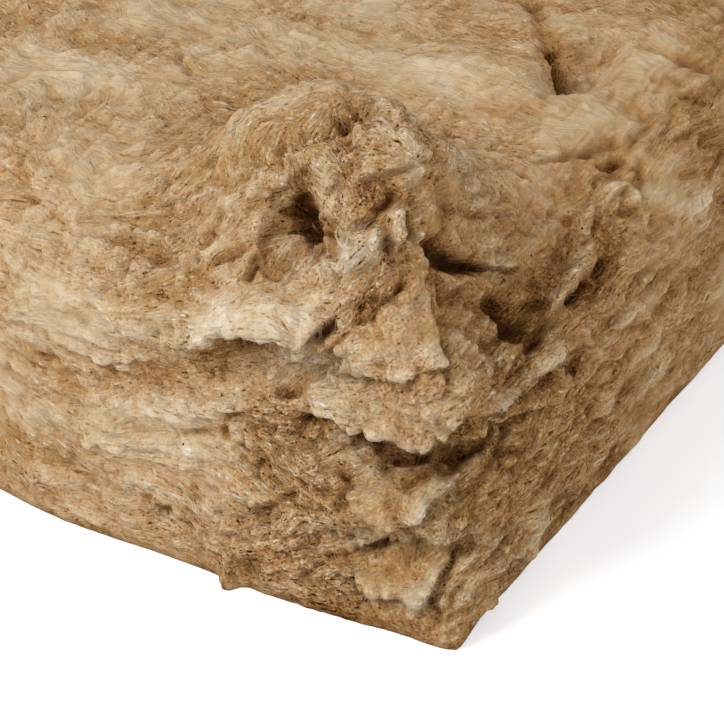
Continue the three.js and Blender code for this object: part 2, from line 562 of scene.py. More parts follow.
def level_wave(places):
    """How the level fibres of the end face weave up and down."""
    return noise_vector(places / END_WAVE_PITCH + 2.2) * END_WAVE


def fibre_direction(places, normals):
    """A level direction on the sides, a combed one on the top, and a raised one on the tuft."""
    far = smooth_step((LENGTH / 2 - places[:, 0] - FAR_START) / FAR_RUN)
    turn = TOP_TURN * noise(places / TOP_TURN_PITCH + 5.5) - FAR_TURN * far
    on_tuft = bell(np.linalg.norm(places - np.array(TUFT_CENTRE), axis=1), TUFT_REACH)
    turn = turn * (1 - on_tuft) + on_tuft * TUFT_TURN
    top = np.stack([np.cos(turn), np.sin(turn), np.zeros(len(turn))], axis=1)
    side = np.cross(np.array([0.0, 0.0, 1.0]), normals)
    sign = np.sign((side * (top + np.array((0.0, 1.0, 0.0)))).sum(axis=1))
    sign[sign == 0] = 1
    steep = smooth_step((STEEP_START - np.abs(normals[:, 2])) / STEEP_RUN)[:, None]
    mixed = side * sign[:, None] * steep + top * (1 - steep)
    mixed[:, 2] += DRAG * bell(from_torn_edge(places), DRAG_REACH)
    curled = WIDE_CURL * noise_vector(places / WIDE_CURL_PITCH)
    curled += SMALL_CURL * noise_vector(places / SMALL_CURL_PITCH)
    mixed += curled * (1 - END_CALM * end_share(places))[:, None]
    mixed -= (mixed * normals).sum(axis=1)[:, None] * normals
    return unit(mixed)


def streaks(places, direction, width, length, taps):
    """Noise smeared along the fibres: the mean of several places along the direction."""
    total = np.zeros(len(places))
    for tap in range(taps):
        along = (tap / (taps - 1) - 0.5) * length
        total += noise((places + direction * along) / width)
    end = end_share(places)
    thick = width * END_THICKNESS
    wavy = places + level_wave(places)
    level = noise(wavy / np.array((thick, length * END_STRETCH, thick)) + 6.6)
    return total / math.sqrt(taps) * (1 - end) + level * end


# %% [markdown]
# ## Marks drawn one by one
#
# Noise alone gives an even felt, and a torn corner is not even: it has one deep hole, a
# three-cornered flake, a fringe over a crevice. Each such thing is a mark: a short line with
# a width. Marks are drawn the way a sculptor draws in Blender, over the camera's view. Their
# places are picture units, 724 across and 724 down, and a ray from the camera finds the felt
# behind each end. After that the mark belongs to the felt, and it is there from every side.
#
# A crease presses the felt in and a ridge lifts it. A ledge, looked at from its start to its
# end, lifts the left side and cuts in under it on the right. The browner tone of a crease and
# of a ledge's right side is painted shade in the hollow. The paler tone of a ridge and of a
# ledge's left side is partly paler wool and partly painted light on the raised wool. Tints
# only make the felt paler or browner, calm marks smooth it, and rusted ones stain it.

# %% Marks
# Each row: the kind, the two ends, the width, and then
#   crease: how deep in mm, how much paler       ridge: how high in mm, how much paler
#   ledge: how far out and in, in mm, how much paler on the left and on the right
#   tint, calm and rusted: how much
CREASE, RIDGE, LEDGE, TINT, CALM, RUSTED = range(6)
MARKS = {
    "the hole in the tuft": (
        (CREASE, 305, 200, 312, 222, 9, 6, -1.1),
        (CREASE, 312, 222, 316, 242, 8, 6, -1.2),
        (CREASE, 290, 213, 304, 214, 6, 4, -0.6),
        (LEDGE, 326, 240, 298, 238, 8, 2.5, 3, 0.15, -0.8),
        (RIDGE, 308, 262, 308, 250, 12, 1.5, 0.25),
        (RIDGE, 330, 172, 334, 208, 14, 3, 0.6),
        (CALM, 330, 172, 334, 208, 14, 0.5),
        (RIDGE, 354, 168, 352, 232, 9, 2, 0.1),
        (CREASE, 344, 172, 344, 214, 4, 1.5, -0.2),
    ),
    "the pocket under the crown of the tuft": (
        (RIDGE, 350, 258, 396, 216, 9, 3, 0.4),
        (CREASE, 395, 196, 368, 224, 7, 4.5, -0.9),
        (LEDGE, 366, 180, 402, 168, 11, 1.5, 2.5, 0.1, -0.45),
        (RIDGE, 404, 176, 418, 172, 8, 2.5, 0.8),
        (CREASE, 402, 207, 442, 174, 3, 1.2, -0.4),
        # A painted glint: a short pale streak of highlight on one fibre.
        (RIDGE, 420, 198, 427, 190, 2, 0.3, 1),
    ),
    "pits beside the rim": (
        (CREASE, 384, 222, 386, 243, 6, 4.5, -1),
        (CREASE, 409, 216, 411, 236, 3.5, 2, -0.7),
        (RIDGE, 375, 256, 379, 224, 5, 2, 0.4),
        (RIDGE, 396, 246, 402, 218, 6, 2, 0.3),
        (CREASE, 360, 276, 404, 246, 4, 1.5, -0.4),
    ),
    "the rim and the deep hollow behind it": (
        # The dark brown of this hollow and of the crease beside it is painted shadow.
        (LEDGE, 428, 266, 447, 188, 11, 2.5, 5, 0.15, -0.9),
        (CREASE, 432, 246, 458, 262, 13, 8, -1.8),
        (CREASE, 442, 256, 472, 268, 8, 5, -1.2),
        (CREASE, 456, 262, 482, 266, 6, 4, -1.3),
        (LEDGE, 480, 262, 514, 266, 6, 2, 4, 0.3, -1.3),
        (CREASE, 446, 196, 447, 232, 8, 3, -0.8),
        (RIDGE, 488, 240, 490, 258, 9, 2.5, 0.4),
        (CREASE, 446, 208, 482, 213, 6, 2, -0.6),
        (RIDGE, 463, 172, 474, 205, 8, 2, 0.35),
        (CREASE, 500, 161, 511, 163, 6, 2, -0.5),
    ),
    "the crown of the tuft": (
        (CREASE, 340, 120, 347, 132, 7, 4.5, -1),
        (CREASE, 353, 102, 357, 118, 7, 2, -0.5),
        (TINT, 300, 108, 314, 104, 11, -0.25),
        (RIDGE, 390, 118, 410, 150, 13, 2, 0.25),
        (RIDGE, 236, 128, 300, 104, 14, 1.5, 0.25),
        (RIDGE, 310, 150, 336, 158, 10, 1.5, 0.25),
    ),
    "combed folds on the left flank": (
        (RIDGE, 200, 200, 240, 174, 4, 1.5, 0.5),
        (CREASE, 205, 236, 222, 212, 3.5, 1.8, -0.7),
        (CREASE, 222, 190, 248, 177, 5, 2, -0.6),
        (RIDGE, 200, 228, 238, 198, 4, 1.2, 0.4),
        (CREASE, 214, 263, 242, 251, 3.5, 1.8, -0.6),
        (RIDGE, 208, 256, 258, 238, 4.5, 1.8, 0.35),
        (CREASE, 242, 206, 282, 194, 5, 1.5, -0.45),
        (CREASE, 262, 240, 277, 228, 4, 1.5, -0.6),
        (CREASE, 281, 166, 285, 146, 4.5, 1, -0.45),
        (RIDGE, 298, 160, 301, 182, 5, 1, 0.3),
        (CREASE, 292, 188, 304, 170, 4, 1.2, -0.5),
        (CREASE, 257, 262, 249, 277, 5, 4, -1.1),
        (CREASE, 262, 250, 272, 274, 12, 2, -0.5),
        (CREASE, 201, 247, 209, 243, 3, 1, -0.8),
        (CREASE, 290, 256, 284, 268, 4, 1.5, -0.45),
        (RIDGE, 180, 282, 250, 272, 9, 1, 0.05),
    ),
    "cream lobes over the crevice": (
        (RIDGE, 204, 342, 226, 308, 15, 2, 0.6),
        (RIDGE, 234, 322, 270, 312, 14, 2.5, 0.6),
        (RIDGE, 288, 332, 326, 298, 15, 2.5, 0.45),
        (RIDGE, 312, 278, 346, 262, 13, 1.5, 0.45),
        # The browner tones of this ledge and crease paint the shadow in the crevice.
        (LEDGE, 224, 336, 262, 337, 9, 1.5, 6.5, 0.2, -1.5),
        (CREASE, 235, 346, 254, 341, 7, 9, -2.6),
        (LEDGE, 262, 338, 300, 342, 7, 1.5, 3, 0.2, -0.8),
        (LEDGE, 300, 341, 331, 318, 8, 2, 4, 0.2, -0.9),
        (CREASE, 314, 338, 334, 328, 7, 4, -1),
        (CREASE, 275, 318, 288, 330, 5, 1.6, -0.65),
        (RIDGE, 335, 338, 350, 302, 8, 2, 0.4),
        (CREASE, 358, 306, 359, 322, 3.2, 2.2, -0.9),
        (CREASE, 342, 312, 372, 298, 3.2, 1.8, -0.6),
    ),
    "the three-cornered flake": (
        (LEDGE, 410, 284, 342, 344, 9, 1.2, 2.8, 0, -0.7),
        (LEDGE, 446, 366, 426, 294, 9, 1.5, 4, 0, -0.95),
        (LEDGE, 342, 371, 402, 375, 8, 1.2, 2.2, 0.4, -0.4),
        (LEDGE, 402, 375, 446, 367, 8, 1.4, 2.6, 0.4, -0.5),
        (RIDGE, 362, 356, 434, 357, 13, 0.6, 0.5),
        (LEDGE, 340, 346, 338, 374, 3.5, 1, 2, 0.3, -0.5),
        (CREASE, 418, 368, 426, 372, 4, 1.5, -0.5),
        (CREASE, 431, 300, 449, 352, 5, 4, -1.1),
        (CREASE, 404, 286, 366, 318, 4, 3, -0.9),
    ),
    "the crease under the lobes": (
        (CREASE, 334, 352, 288, 386, 10, 5, -0.9),
        (CREASE, 288, 386, 225, 420, 3.2, 1.8, -0.55),
        (RIDGE, 214, 405, 230, 404, 8, 2, 0.5),
        (CREASE, 232, 402, 234, 410, 3, 1.2, -0.6),
        (CREASE, 224, 424, 223, 436, 4.5, 2.2, -0.95),
        (TINT, 180, 372, 296, 368, 17, -0.12),
    ),
    "the cream ledge at the corner": (
        (RIDGE, 322, 410, 388, 424, 13, 1.5, 0.35),
        (RIDGE, 398, 404, 440, 412, 17, 2, 0.35),
        (LEDGE, 386, 432, 416, 443, 9, 1.6, 4.5, 0.25, -0.9),
        (LEDGE, 416, 443, 457, 424, 9, 2, 5.5, 0.25, -1.1),
        (CREASE, 454, 430, 478, 436, 7, 3, -0.9),
        (RIDGE, 455, 336, 480, 358, 4, 1.5, 0.3),
        (RIDGE, 462, 402, 492, 388, 14, 2.5, 0.2),
        (CREASE, 441, 404, 452, 376, 4, 1.5, -0.35),
    ),
    "hollows right of the flake": (
        (CREASE, 428, 266, 444, 296, 9, 3, -0.6),
        (CREASE, 444, 290, 478, 308, 8, 2.8, -0.7),
        (CREASE, 498, 308, 522, 327, 11, 5.5, -1.4),
        (CREASE, 500, 301, 542, 300, 4, 1.5, -0.5),
        (RIDGE, 482, 324, 495, 306, 4, 2, 0.5),
        (RIDGE, 472, 284, 494, 296, 8, 2, 0.1),
        (LEDGE, 500, 408, 558, 356, 9, 3, 3.8, 0.4, -0.65),
        (CREASE, 537, 387, 556, 376, 7, 2.5, -0.8),
        (CREASE, 500, 423, 533, 416, 4, 3, -0.9),
        (CREASE, 533, 416, 556, 409, 6, 2, -0.6),
        (CREASE, 500, 450, 518, 453, 4.5, 1.8, -0.7),
    ),
    "the split under the ledge": (
        (CREASE, 308, 424, 346, 430, 9, 5.5, -1.3),
        (CREASE, 363, 437, 384, 438, 5.5, 4.5, -1.3),
        (CREASE, 382, 446, 398, 458, 7, 2, -0.6),
        (CREASE, 398, 458, 424, 456, 5, 3, -0.9),
        (CREASE, 424, 456, 444, 452, 5, 3, -0.9),
        (CREASE, 444, 450, 476, 448, 4.5, 2.5, -0.8),
        (CREASE, 404, 491, 438, 467, 4, 2.8, -0.9),
    ),
    "the lower flakes": (
        (LEDGE, 362, 537, 418, 514, 10, 2.5, 3.2, 0.5, -0.5),
        (LEDGE, 418, 514, 454, 484, 10, 3.2, 3.8, 0.65, -0.6),
        (CREASE, 341, 488, 332, 514, 6, 2.8, -0.8),
        (CREASE, 318, 491, 328, 488, 4, 1.5, -1),
        (CREASE, 343, 474, 350, 483, 4, 1.6, -1),
        (LEDGE, 324, 552, 378, 539, 7, 1.5, 3.2, 0.2, -0.8),
        (LEDGE, 378, 537, 442, 531, 8, 1.8, 3.8, 0.1, -0.9),
        (LEDGE, 370, 587, 424, 595, 10, 3, 3.2, 0.35, -0.5),
        (LEDGE, 424, 595, 447, 560, 9, 3, 4.2, 0.3, -0.85),
        (CREASE, 447, 560, 457, 545, 5, 2.5, -0.7),
        (CREASE, 454, 590, 482, 560, 5, 1.5, -0.5),
        (CREASE, 262, 510, 272, 508, 5, 2.2, -0.8),
        (CREASE, 279, 501, 293, 494, 4, 2, -0.9),
        (CREASE, 271, 477, 278, 484, 4, 1.5, -0.7),
        (RIDGE, 262, 474, 270, 482, 4, 1, 0.4),
        (CREASE, 248, 462, 260, 474, 7, 1.2, -0.55),
        (CREASE, 294, 600, 430, 637, 5, 0.5, -0.6),
    ),
    "the end face": (
        (CREASE, 566, 301, 590, 284, 6, 2.6, -0.9),
        (TINT, 574, 306, 600, 292, 15, -0.4),
        (RIDGE, 582, 330, 598, 358, 5, 1.5, 0.35),
        (CREASE, 580, 358, 581, 372, 5, 2.6, -0.8),
        (CREASE, 579, 421, 595, 402, 5, 2.6, -0.8),
        (CREASE, 590, 428, 601, 420, 4, 1.5, -0.5),
        (CREASE, 620, 363, 640, 345, 5, 2.2, -0.7),
        (RIDGE, 618, 374, 660, 324, 4, 1.5, 0.3),
        (CREASE, 606, 468, 620, 452, 11, 1, -0.5),
        (RIDGE, 560, 430, 590, 400, 4, 1.2, 0.3),
        (RIDGE, 585, 236, 577, 262, 10, 0.8, 0.3),
        (RIDGE, 577, 262, 562, 294, 10, 1.0, 0.35),
        (RIDGE, 562, 294, 552, 330, 10, 0.9, 0.3),
        (RIDGE, 550, 338, 530, 384, 9, 0.8, 0.25),
        (CREASE, 600, 262, 572, 300, 5, 2, -0.5),
        (CREASE, 545, 302, 536, 340, 6, 2.5, -0.7),
        (CREASE, 640, 300, 672, 268, 5, 2, -0.5),
        (CREASE, 618, 400, 652, 366, 5, 2, -0.5),
        (CREASE, 540, 480, 566, 452, 5, 2, -0.5),
        (CREASE, 560, 520, 590, 488, 5, 1.6, -0.4),
        (CREASE, 488, 560, 512, 536, 5, 1.6, -0.5),
        (CREASE, 672, 350, 700, 318, 5, 1.6, -0.4),
        (RIDGE, 604, 340, 650, 296, 7, 1.6, 0.3),
        (RIDGE, 560, 468, 604, 430, 7, 1.6, 0.3),
        (RIDGE, 520, 520, 556, 486, 7, 1.4, 0.3),
        (RIDGE, 640, 384, 690, 332, 7, 1.4, 0.3),
    ),
    "the long side": (
        (RIDGE, 40, 300, 130, 292, 14, 1, 0.3),
        (TINT, 20, 308, 60, 312, 10, -0.2),
        (CREASE, 100, 292, 170, 296, 7, 0.6, -0.3),
        (RIDGE, 40, 332, 190, 328, 20, 1, 0.3),
        (LEDGE, 60, 340, 130, 374, 6, 0.8, 1.6, 0.4, -0.6),
        (LEDGE, 100, 360, 146, 358, 6, 1.6, 1.2, 0.6, -0.3),
        (CREASE, 44, 354, 58, 362, 3, 1, -0.7),
        (CREASE, 140, 368, 230, 374, 13, 0.4, -0.15),
        (RIDGE, 90, 402, 190, 412, 14, 1.2, 0.35),
        (RIDGE, 40, 412, 120, 440, 16, 1, 0.35),
        (CREASE, 184, 434, 222, 431, 5, 1.8, -0.6),
        (RIDGE, 150, 446, 186, 450, 12, 1, 0.45),
        (TINT, 4, 372, 70, 388, 16, -0.25),
        (CREASE, 146, 496, 164, 509, 6, 1, -0.6),
        (CREASE, 192, 489, 200, 499, 6, 1, -0.5),
        (RIDGE, 130, 476, 196, 506, 8, 1, 0.45),
        (CREASE, 14, 434, 112, 482, 13, 0.6, -0.2),
        (TINT, 190, 520, 234, 552, 18, -0.25),
        (CREASE, 120, 428, 180, 436, 6, 0.6, -0.3),
    ),
    "the slit in the top": (
        (CREASE, 557, 48, 561, 72, 8, 9, -2.2),
        (CREASE, 564, 88, 567, 96, 7.5, 9, -2.2),
        (RIDGE, 557, 81, 582, 79, 3.5, 1.5, 0.5),
        (CREASE, 532, 0, 550, 38, 9, 3, -0.7),
        (RIDGE, 575, 94, 582, 114, 3.5, 1.5, 0.6),
    ),
    "mounds and folds on the top": (
        (CREASE, 398, 50, 416, 56, 4, 1.5, -0.5),
        (LEDGE, 416, 56, 458, 48, 4, 1.2, 1.6, 0.2, -0.5),
        (CREASE, 498, 50, 532, 60, 4, 1.8, -0.6),
        (RIDGE, 420, 74, 524, 84, 22, 3, 0.1),
        (CREASE, 482, 104, 520, 112, 11, 1, -0.35),
        (RIDGE, 545, 140, 600, 120, 18, 1.2, 0.3),
        (LEDGE, 536, 160, 558, 156, 7, 1, 1.4, 0.25, -0.3),
        (CREASE, 566, 158, 590, 156, 5, 1.2, -0.35),
        (CREASE, 585, 152, 612, 145, 6, 2, -0.6),
        (CREASE, 601, 165, 621, 163, 5, 3, -0.95),
        (CREASE, 555, 217, 570, 221, 4.5, 2.5, -0.85),
        (RIDGE, 605, 197, 626, 190, 7, 2, 0.3),
        (CREASE, 618, 208, 640, 214, 5, 1.6, -0.6),
        (CREASE, 642, 160, 644, 196, 5, 1.5, -0.35),
        (RIDGE, 690, 210, 706, 194, 12, 1.5, 1),
        (RIDGE, 640, 200, 684, 206, 12, 0.8, 0.45),
        (CREASE, 656, 46, 680, 58, 5, 1.5, -0.6),
        (CREASE, 690, 62, 704, 70, 6, 2, -0.8),
        (CREASE, 656, 80, 680, 83, 5, 1, -0.5),
        (CREASE, 682, 96, 702, 102, 5, 1.2, -0.6),
        (TINT, 461, 146, 474, 164, 7, -0.3),
        (CREASE, 451, 137, 457, 137, 2.5, 1.2, -1.1),
        (CREASE, 519, 174, 527, 179, 2.5, 1.2, -0.9),
    ),
    "dents and sheets at the far end of the view": (
        (CREASE, 180, 52, 190, 74, 4, 2, -0.5),
        (CREASE, 204, 96, 222, 122, 3.2, 1.6, -0.7),
        (CREASE, 46, 82, 60, 100, 10, 0.8, -0.45),
        (CREASE, 95, 28, 112, 36, 5, 1, -0.4),
        (CREASE, 26, 196, 36, 200, 4, 1, -0.8),
        (CREASE, 95, 120, 120, 130, 7, 0.8, -0.35),
        (LEDGE, 100, 213, 124, 218, 6, 1.0, 0.8, 0.2, -0.2),
        (LEDGE, 132, 216, 162, 214, 6, 1.0, 0.8, 0.2, -0.2),
        (CREASE, 120, 240, 158, 252, 9, 2, -0.6),
        (RIDGE, 114, 226, 160, 236, 3, 1.2, 0.6),
        (RIDGE, 60, 60, 130, 66, 12, 0.8, 0.35),
    ),
    "plates of the flakes": (
        (RIDGE, 362, 352, 418, 334, 20, 1.5, -0.1),
        (RIDGE, 352, 404, 428, 400, 16, 1.5, 0),
        (RIDGE, 362, 506, 424, 490, 22, 1.5, -0.3),
        (RIDGE, 384, 570, 420, 562, 20, 1.5, -0.3),
        (RIDGE, 430, 492, 444, 486, 8, 0.5, 0.4),
        (CALM, 358, 352, 425, 330, 24, 0.6),
        (CALM, 350, 402, 435, 404, 22, 0.4),
        (CALM, 360, 508, 420, 494, 24, 0.3),
        (CALM, 380, 570, 426, 564, 24, 0.4),
        (CALM, 390, 622, 450, 632, 20, 0.6),
    ),
    "smooth wool": (
        (CALM, 215, 320, 322, 300, 28, 0.5),
        (CALM, 50, 300, 190, 322, 36, 0.3),
        (CALM, 50, 420, 190, 410, 36, 0.3),
        (CALM, 410, 78, 530, 88, 40, 0.5),
        (CALM, 600, 100, 690, 60, 46, 0.5),
        (CALM, 560, 145, 690, 200, 34, 0.4),
        (CALM, 210, 160, 300, 112, 28, 0.15),
        (CALM, 446, 180, 425, 270, 12, 0.6),
    ),
    "rust": (
        (RUSTED, 324, 216, 326, 238, 8, 1.3),
        (RUSTED, 300, 254, 318, 256, 8, 1.0),
        (RUSTED, 372, 184, 398, 194, 10, 0.4),
        (RUSTED, 560, 224, 574, 222, 8, 0.5),
        (RUSTED, 572, 336, 592, 341, 13, 0.5),
        (RUSTED, 404, 560, 410, 576, 9, 0.35),
        (RUSTED, 520, 300, 540, 310, 10, 0.4),
        (RUSTED, 130, 370, 172, 376, 7, 0.5),
        (RUSTED, 204, 226, 212, 214, 8, 0.4),
    ),
}


def effects(kind, values):
    """A mark's heights in mm and its tones, on its left and right, its calm and its rust."""
    if kind == CREASE:
        return -values[0], -values[0], values[1], values[1], 0, 0
    if kind == RIDGE:
        return values[0], values[0], values[1], values[1], 0, 0
    if kind == LEDGE:
        return values[0], -values[1], values[2], values[3], 0, 0
    amount = values[0]
    tint = amount if kind == TINT else 0
    return 0, 0, tint, tint, amount if kind == CALM else 0, amount if kind == RUSTED else 0


# %% Marks on the felt
PICTURE = 724
FOCAL_LENGTH = PICTURE * LENS_LENGTH / SENSOR_WIDTH
LEAST_SEEN = 0.4
LEAST_WIDTH = 1.15 * MM
LEAST_LENGTH = 0.5 * MM


def sight_line(across, down):
    """The way the camera looks through one place in its picture."""
    line = Vector((across - PICTURE / 2, PICTURE / 2 - down, -FOCAL_LENGTH))
    line.rotate(camera.rotation_euler)
    return line.normalized()


def felt_behind(across, down, sheets):
    """The plain form's place and facing behind a place in the picture, and how far away."""
    nearest = None
    for sheet in sheets:
        hit, _, index, distance = sheet["tree"].ray_cast(CAMERA_PLACE, sight_line(across, down))
        if hit is not None and (nearest is None or distance < nearest[2]):
            corners = sheet["faces"][index]
            shares = poly_3d_calc([Vector(sheet["relief"][corner]) for corner in corners], hit)
            place = np.array(shares) @ sheet["shaped"][corners]
            nearest = place, sheet["normals"][corners].mean(axis=0), distance
    return nearest


def placed_marks(sheets):
    """Each mark with its ends on the plain form, its width there and its effects."""
    placed = []
    for name, rows in MARKS.items():
        for kind, x_start, y_start, x_end, y_end, width, *values in rows:
            start = felt_behind(x_start, y_start, sheets)
            end = felt_behind(x_end, y_end, sheets)
            if start is None or end is None:
                print("no felt behind a mark of", name, "at", x_start, y_start)
                continue
            along = end[0] - start[0]
            length = max(np.linalg.norm(along), LEAST_LENGTH)
            along = along / length
            across = np.cross(start[1], along)
            across /= max(np.linalg.norm(across), 1e-9)
            sight = np.array(sight_line((x_start + x_end) / 2, (y_start + y_end) / 2))
            seen = max(np.linalg.norm(np.cross(across, sight)), LEAST_SEEN)
            width_there = max(width * start[2] / FOCAL_LENGTH / seen, LEAST_WIDTH)
            placed.append((start[0], along, length, width_there, effects(kind, values)))
    return placed


# %% What the marks do
MARK_POWER = 1.2
LINE_POWER = 0.35
MOST_OUT = 4.2 * MM
MOST_IN = 6.5 * MM
PALEST = 1.0
BROWNEST = -2.3
LINE_WIDTH = 2.2 * MM
SAME_WAY = 0.3
MARK_BEND = 0.6 * MM
MARK_BEND_PITCH = 5 * MM
MARK_REACH = 2.2
SIDE_CHANGE = 0.7
LEDGE_CALM = 0.45
LEDGE_LEAN = 0.5
LEDGE_EDGE = 0.5


def marked(places, normals, direction, marks):
    """What the marks do at each place of the plain form."""
    bent = places + noise_vector(places / MARK_BEND_PITCH) * MARK_BEND
    height, pale, edge, rust = (np.zeros(len(places)) for _ in range(4))
    overhang, line, over = (np.zeros((len(places), 3)) for _ in range(3))
    calm = np.ones(len(places))
    for start, along, length, width, effect in marks:
        left_height, right_height, left_tone, right_tone, smoothing, stain = effect
        away = np.linalg.norm(bent - start - along * length / 2, axis=1)
        near = np.flatnonzero(away < length / 2 + MARK_REACH * width)
        if not len(near):
            continue
        run = np.clip((bent[near] - start) @ along, 0, length)
        offset = bent[near] - start - run[:, None] * along
        side = unit(np.cross(normals[near], along))
        across = (offset * side).sum(axis=1)
        share = np.exp(-((offset ** 2).sum(axis=1) / width ** 2) ** MARK_POWER)
        left = smooth_step(0.5 + across / (SIDE_CHANGE * width))
        height[near] += share * (left * left_height + (1 - left) * right_height) * MM
        # A crease's browner tone and a ledge's browner right side are painted shade; the paler
        # tone of a ridge and of a ledge's left side is partly paler wool and partly painted light
        # on the raised wool.
        pale[near] += share * (left * left_tone + (1 - left) * right_tone)
        calm[near] *= 1 - smoothing * share
        rust[near] += stain * share
        if left_height or right_height:
            same_way = np.tanh(direction[near] @ along / SAME_WAY)
            grip = share ** LINE_POWER * min(1, LINE_WIDTH / width)
            line[near] += (same_way * grip)[:, None] * along
        ledge = max(min(left_height, -right_height), 0)
        if ledge > 0:
            calm[near] *= 1 - LEDGE_CALM * share
            overhang[near] -= side * (share * left * ledge * LEDGE_LEAN * MM)[:, None]
            edge[near] += ledge * share * bell(across, LEDGE_EDGE * width)
            over[near] -= side * share[:, None]
    height = np.where(height > 0, MOST_OUT * np.tanh(height / MOST_OUT),
                      MOST_IN * np.tanh(height / MOST_IN))
    return {"height": height, "pale": np.clip(pale, BROWNEST, PALEST), "overhang": overhang,
            "line": line, "edge": edge, "over": over, "calm": calm, "rust": rust}


# %% [markdown]
# ## The relief of the felt
#
# Several layers of relief lie under the marks. Wool is puffy: its lumps are round on top and
# meet in sharp creases, and that is what the plain size of a noise gives, because the size
# folds up at zero. Curls are smaller lumps with their places swirled first, and folds are the
# same thing smeared along the fibres. Then come the flakes, small pits and fine streaks.
#
# The tables say how much each layer weighs. Some areas are torn and rough, and others are
# smooth and pale. Deep places are painted browner: this is painted shade, laid into the
# colour where the relief sinks.

# %% Relief
TORN_REACH = 105 * MM
CRUMBLY_REACH = 80 * MM
TOP_START = 84 * MM
TOP_RUN = 14 * MM
CLEAN_START = 60 * MM
CLEAN_RUN = 70 * MM
PUSH = 7 * MM
PUSH_PITCH = 30 * MM
RAGGED = 1.1 * MM
RAGGED_PITCH = 4 * MM
SWIRL = 8 * MM
SWIRL_PITCH = 12 * MM
SWELLS_PITCH = 75 * MM
CLOUD_PITCH = 38 * MM
LUMP_PITCH = 21 * MM
SPLIT_PATCH_PITCH = 17 * MM
CURL_PITCH = 9 * MM
GRAIN_PITCH = 1.3 * MM
PUFF_GAIN = 3.2
PUFF_DROP = 0.9
PIT_START = 0.32
CREASE_WIDTH = 0.12
SPLIT_WIDTH = 0.11
SPLIT_START = 0.1
SPLIT_RUN = 0.4
TORN_SPLITS = 0.2
CURL_EDGE_WIDTH = 0.07
END_FLAKES = 0.35
# Each kind of streak: its width and length, how far the push moves it, where its noise
# starts, and how many places along it are averaged.
STREAKS = {
    "locks": (9 * MM, 40 * MM, 0, 5.1, 9),
    "folds": (6.5 * MM, 22 * MM, 0.4, 0, 9),
    "splits": (5 * MM, 18 * MM, 0.4, 4.4, 7),
    "broad_streaks": (3.2 * MM, 15 * MM, 0, 0, 7),
    "fine_folds": (3.0 * MM, 11 * MM, 0.3, 1.9, 9),
    "pits": (2.2 * MM, 5 * MM, 0, 0.7, 5),
    "fine_streaks": (1.5 * MM, 7 * MM, 0, 0.3, 7),
}
# Each kind of flake: its size, how far the push moves it, where its noise starts, and the
# width of its sunk edge as a share of its size.
FLAKES = {
    "big": (np.array((24, 24, 8)) * MM, 1.0, 0, 0.07),
    "small": (np.array((9, 9, 2.8)) * MM, 0.6, 3.7, 0.08),
    "fine": (np.array((4.6, 4.6, 1.7)) * MM, 0.5, 9.1, 0.10),
}
# Each layer's weight everywhere, and what is added to it on the top, at the torn corner and
# on the end face. These are heights in mm.
COARSE_HEIGHTS = {
    "lumps": (0.45, 0.4, 0, 0),
    "folds": (0.5, 0, 0.5, 1.1),
    "splits": (-0.6, 0, -1.2, -0.9),
    "big_flakes": (0.3, 0, 0.3, 0),
    "big_tilts": (0.105, 0, 0.105, 0),
    "big_edges": (-0.2, 0, -0.4, 0),
}
FINE_HEIGHTS = {
    "curls": (0.75, 0, 0, -0.55),
    "fine_folds": (0.35, 0, 0.3, 0.35),
}
ROUGH_HEIGHTS = {
    "small_flakes": (0.9, 0, 0.5, 0),
    "small_tilts": (0.36, 0, 0.2, 0),
    "small_edges": (-0.3, 0, -0.5, 0),
    "fine_flakes": (0.4, 0, 0, 0),
    "fine_tilts": (0.2, 0, 0, 0),
    "fine_edges": (-0.3, 0, 0, 0),
    "grain": (0.1, 0, 0, 0),
    "pits": (-1.8, 0, 0, 1.2),
}
STREAK_HEIGHTS = {
    "broad_streaks": (0.35, 0, 0, 0.3),
    "fine_streaks": (0.35, 0, 0, -0.15),
}
SWELLS_HEIGHT = 1.3
# The same four weights for the shade, which runs from 0, deep brown, to 1, the palest cream.
# The negative weights of the splits and the curl edges paint shade into those crevices.
SHADES_OF_LAYERS = {
    "clouds": (0.03, 0.05, 0.04, 0),
    "locks": (0.04, 0, 0, 0),
    "broad_streaks": (0.03, 0, 0, 0),
    "fine_streaks": (0.03, 0, 0, 0),
    "big_flakes": (0.05, 0, 0, 0),
    "small_flakes": (0.05, 0, 0, 0),
    "fine_flakes": (0.04, 0, 0, 0),
    "fine_folds": (0, 0, 0, 0.03),
    "splits": (-0.07, 0, 0, 0),
    "curl_edges": (-0.06, 0, 0, 0.06),
}
# Painted shade: the creases between the folds are made browner.
PAINTED_SHADE_OF_CREASES = {"creases": (-0.02, 0, -0.04, -0.07)}
MIDDLE_SHADE = 0.547
MARK_TONE_AND_PAINTED_LIGHT = 0.22
ROUGH_SHADE = -0.08
CLEAN_SHADE = 0.02
END_SHADE = -0.06
DEPTH_PAINTED_SHADE = 0.036
DEEPEST = -4
HIGHEST = 1.5
COARSE_DEPTH = 0.4
MARK_DEPTH = 0.45
LEAST_RELIEF = 0.68
LEAST_ROUGH = 0.2
CLOUD_ROUGH = 0.6
CLOUD_START = 0.55
CLOUD_GAIN = 0.9
TORN_ROUGH = 0.25
END_ROUGH = 0.15
CRUMBLY_ROUGH = 0.6
CRUMBLY_LEAST = 0.7
ROUGHEST = 1.3


def puffs(values):
    """Round lumps with sharp creases between them, about -1 to 1."""
    return PUFF_GAIN * np.abs(values) - PUFF_DROP


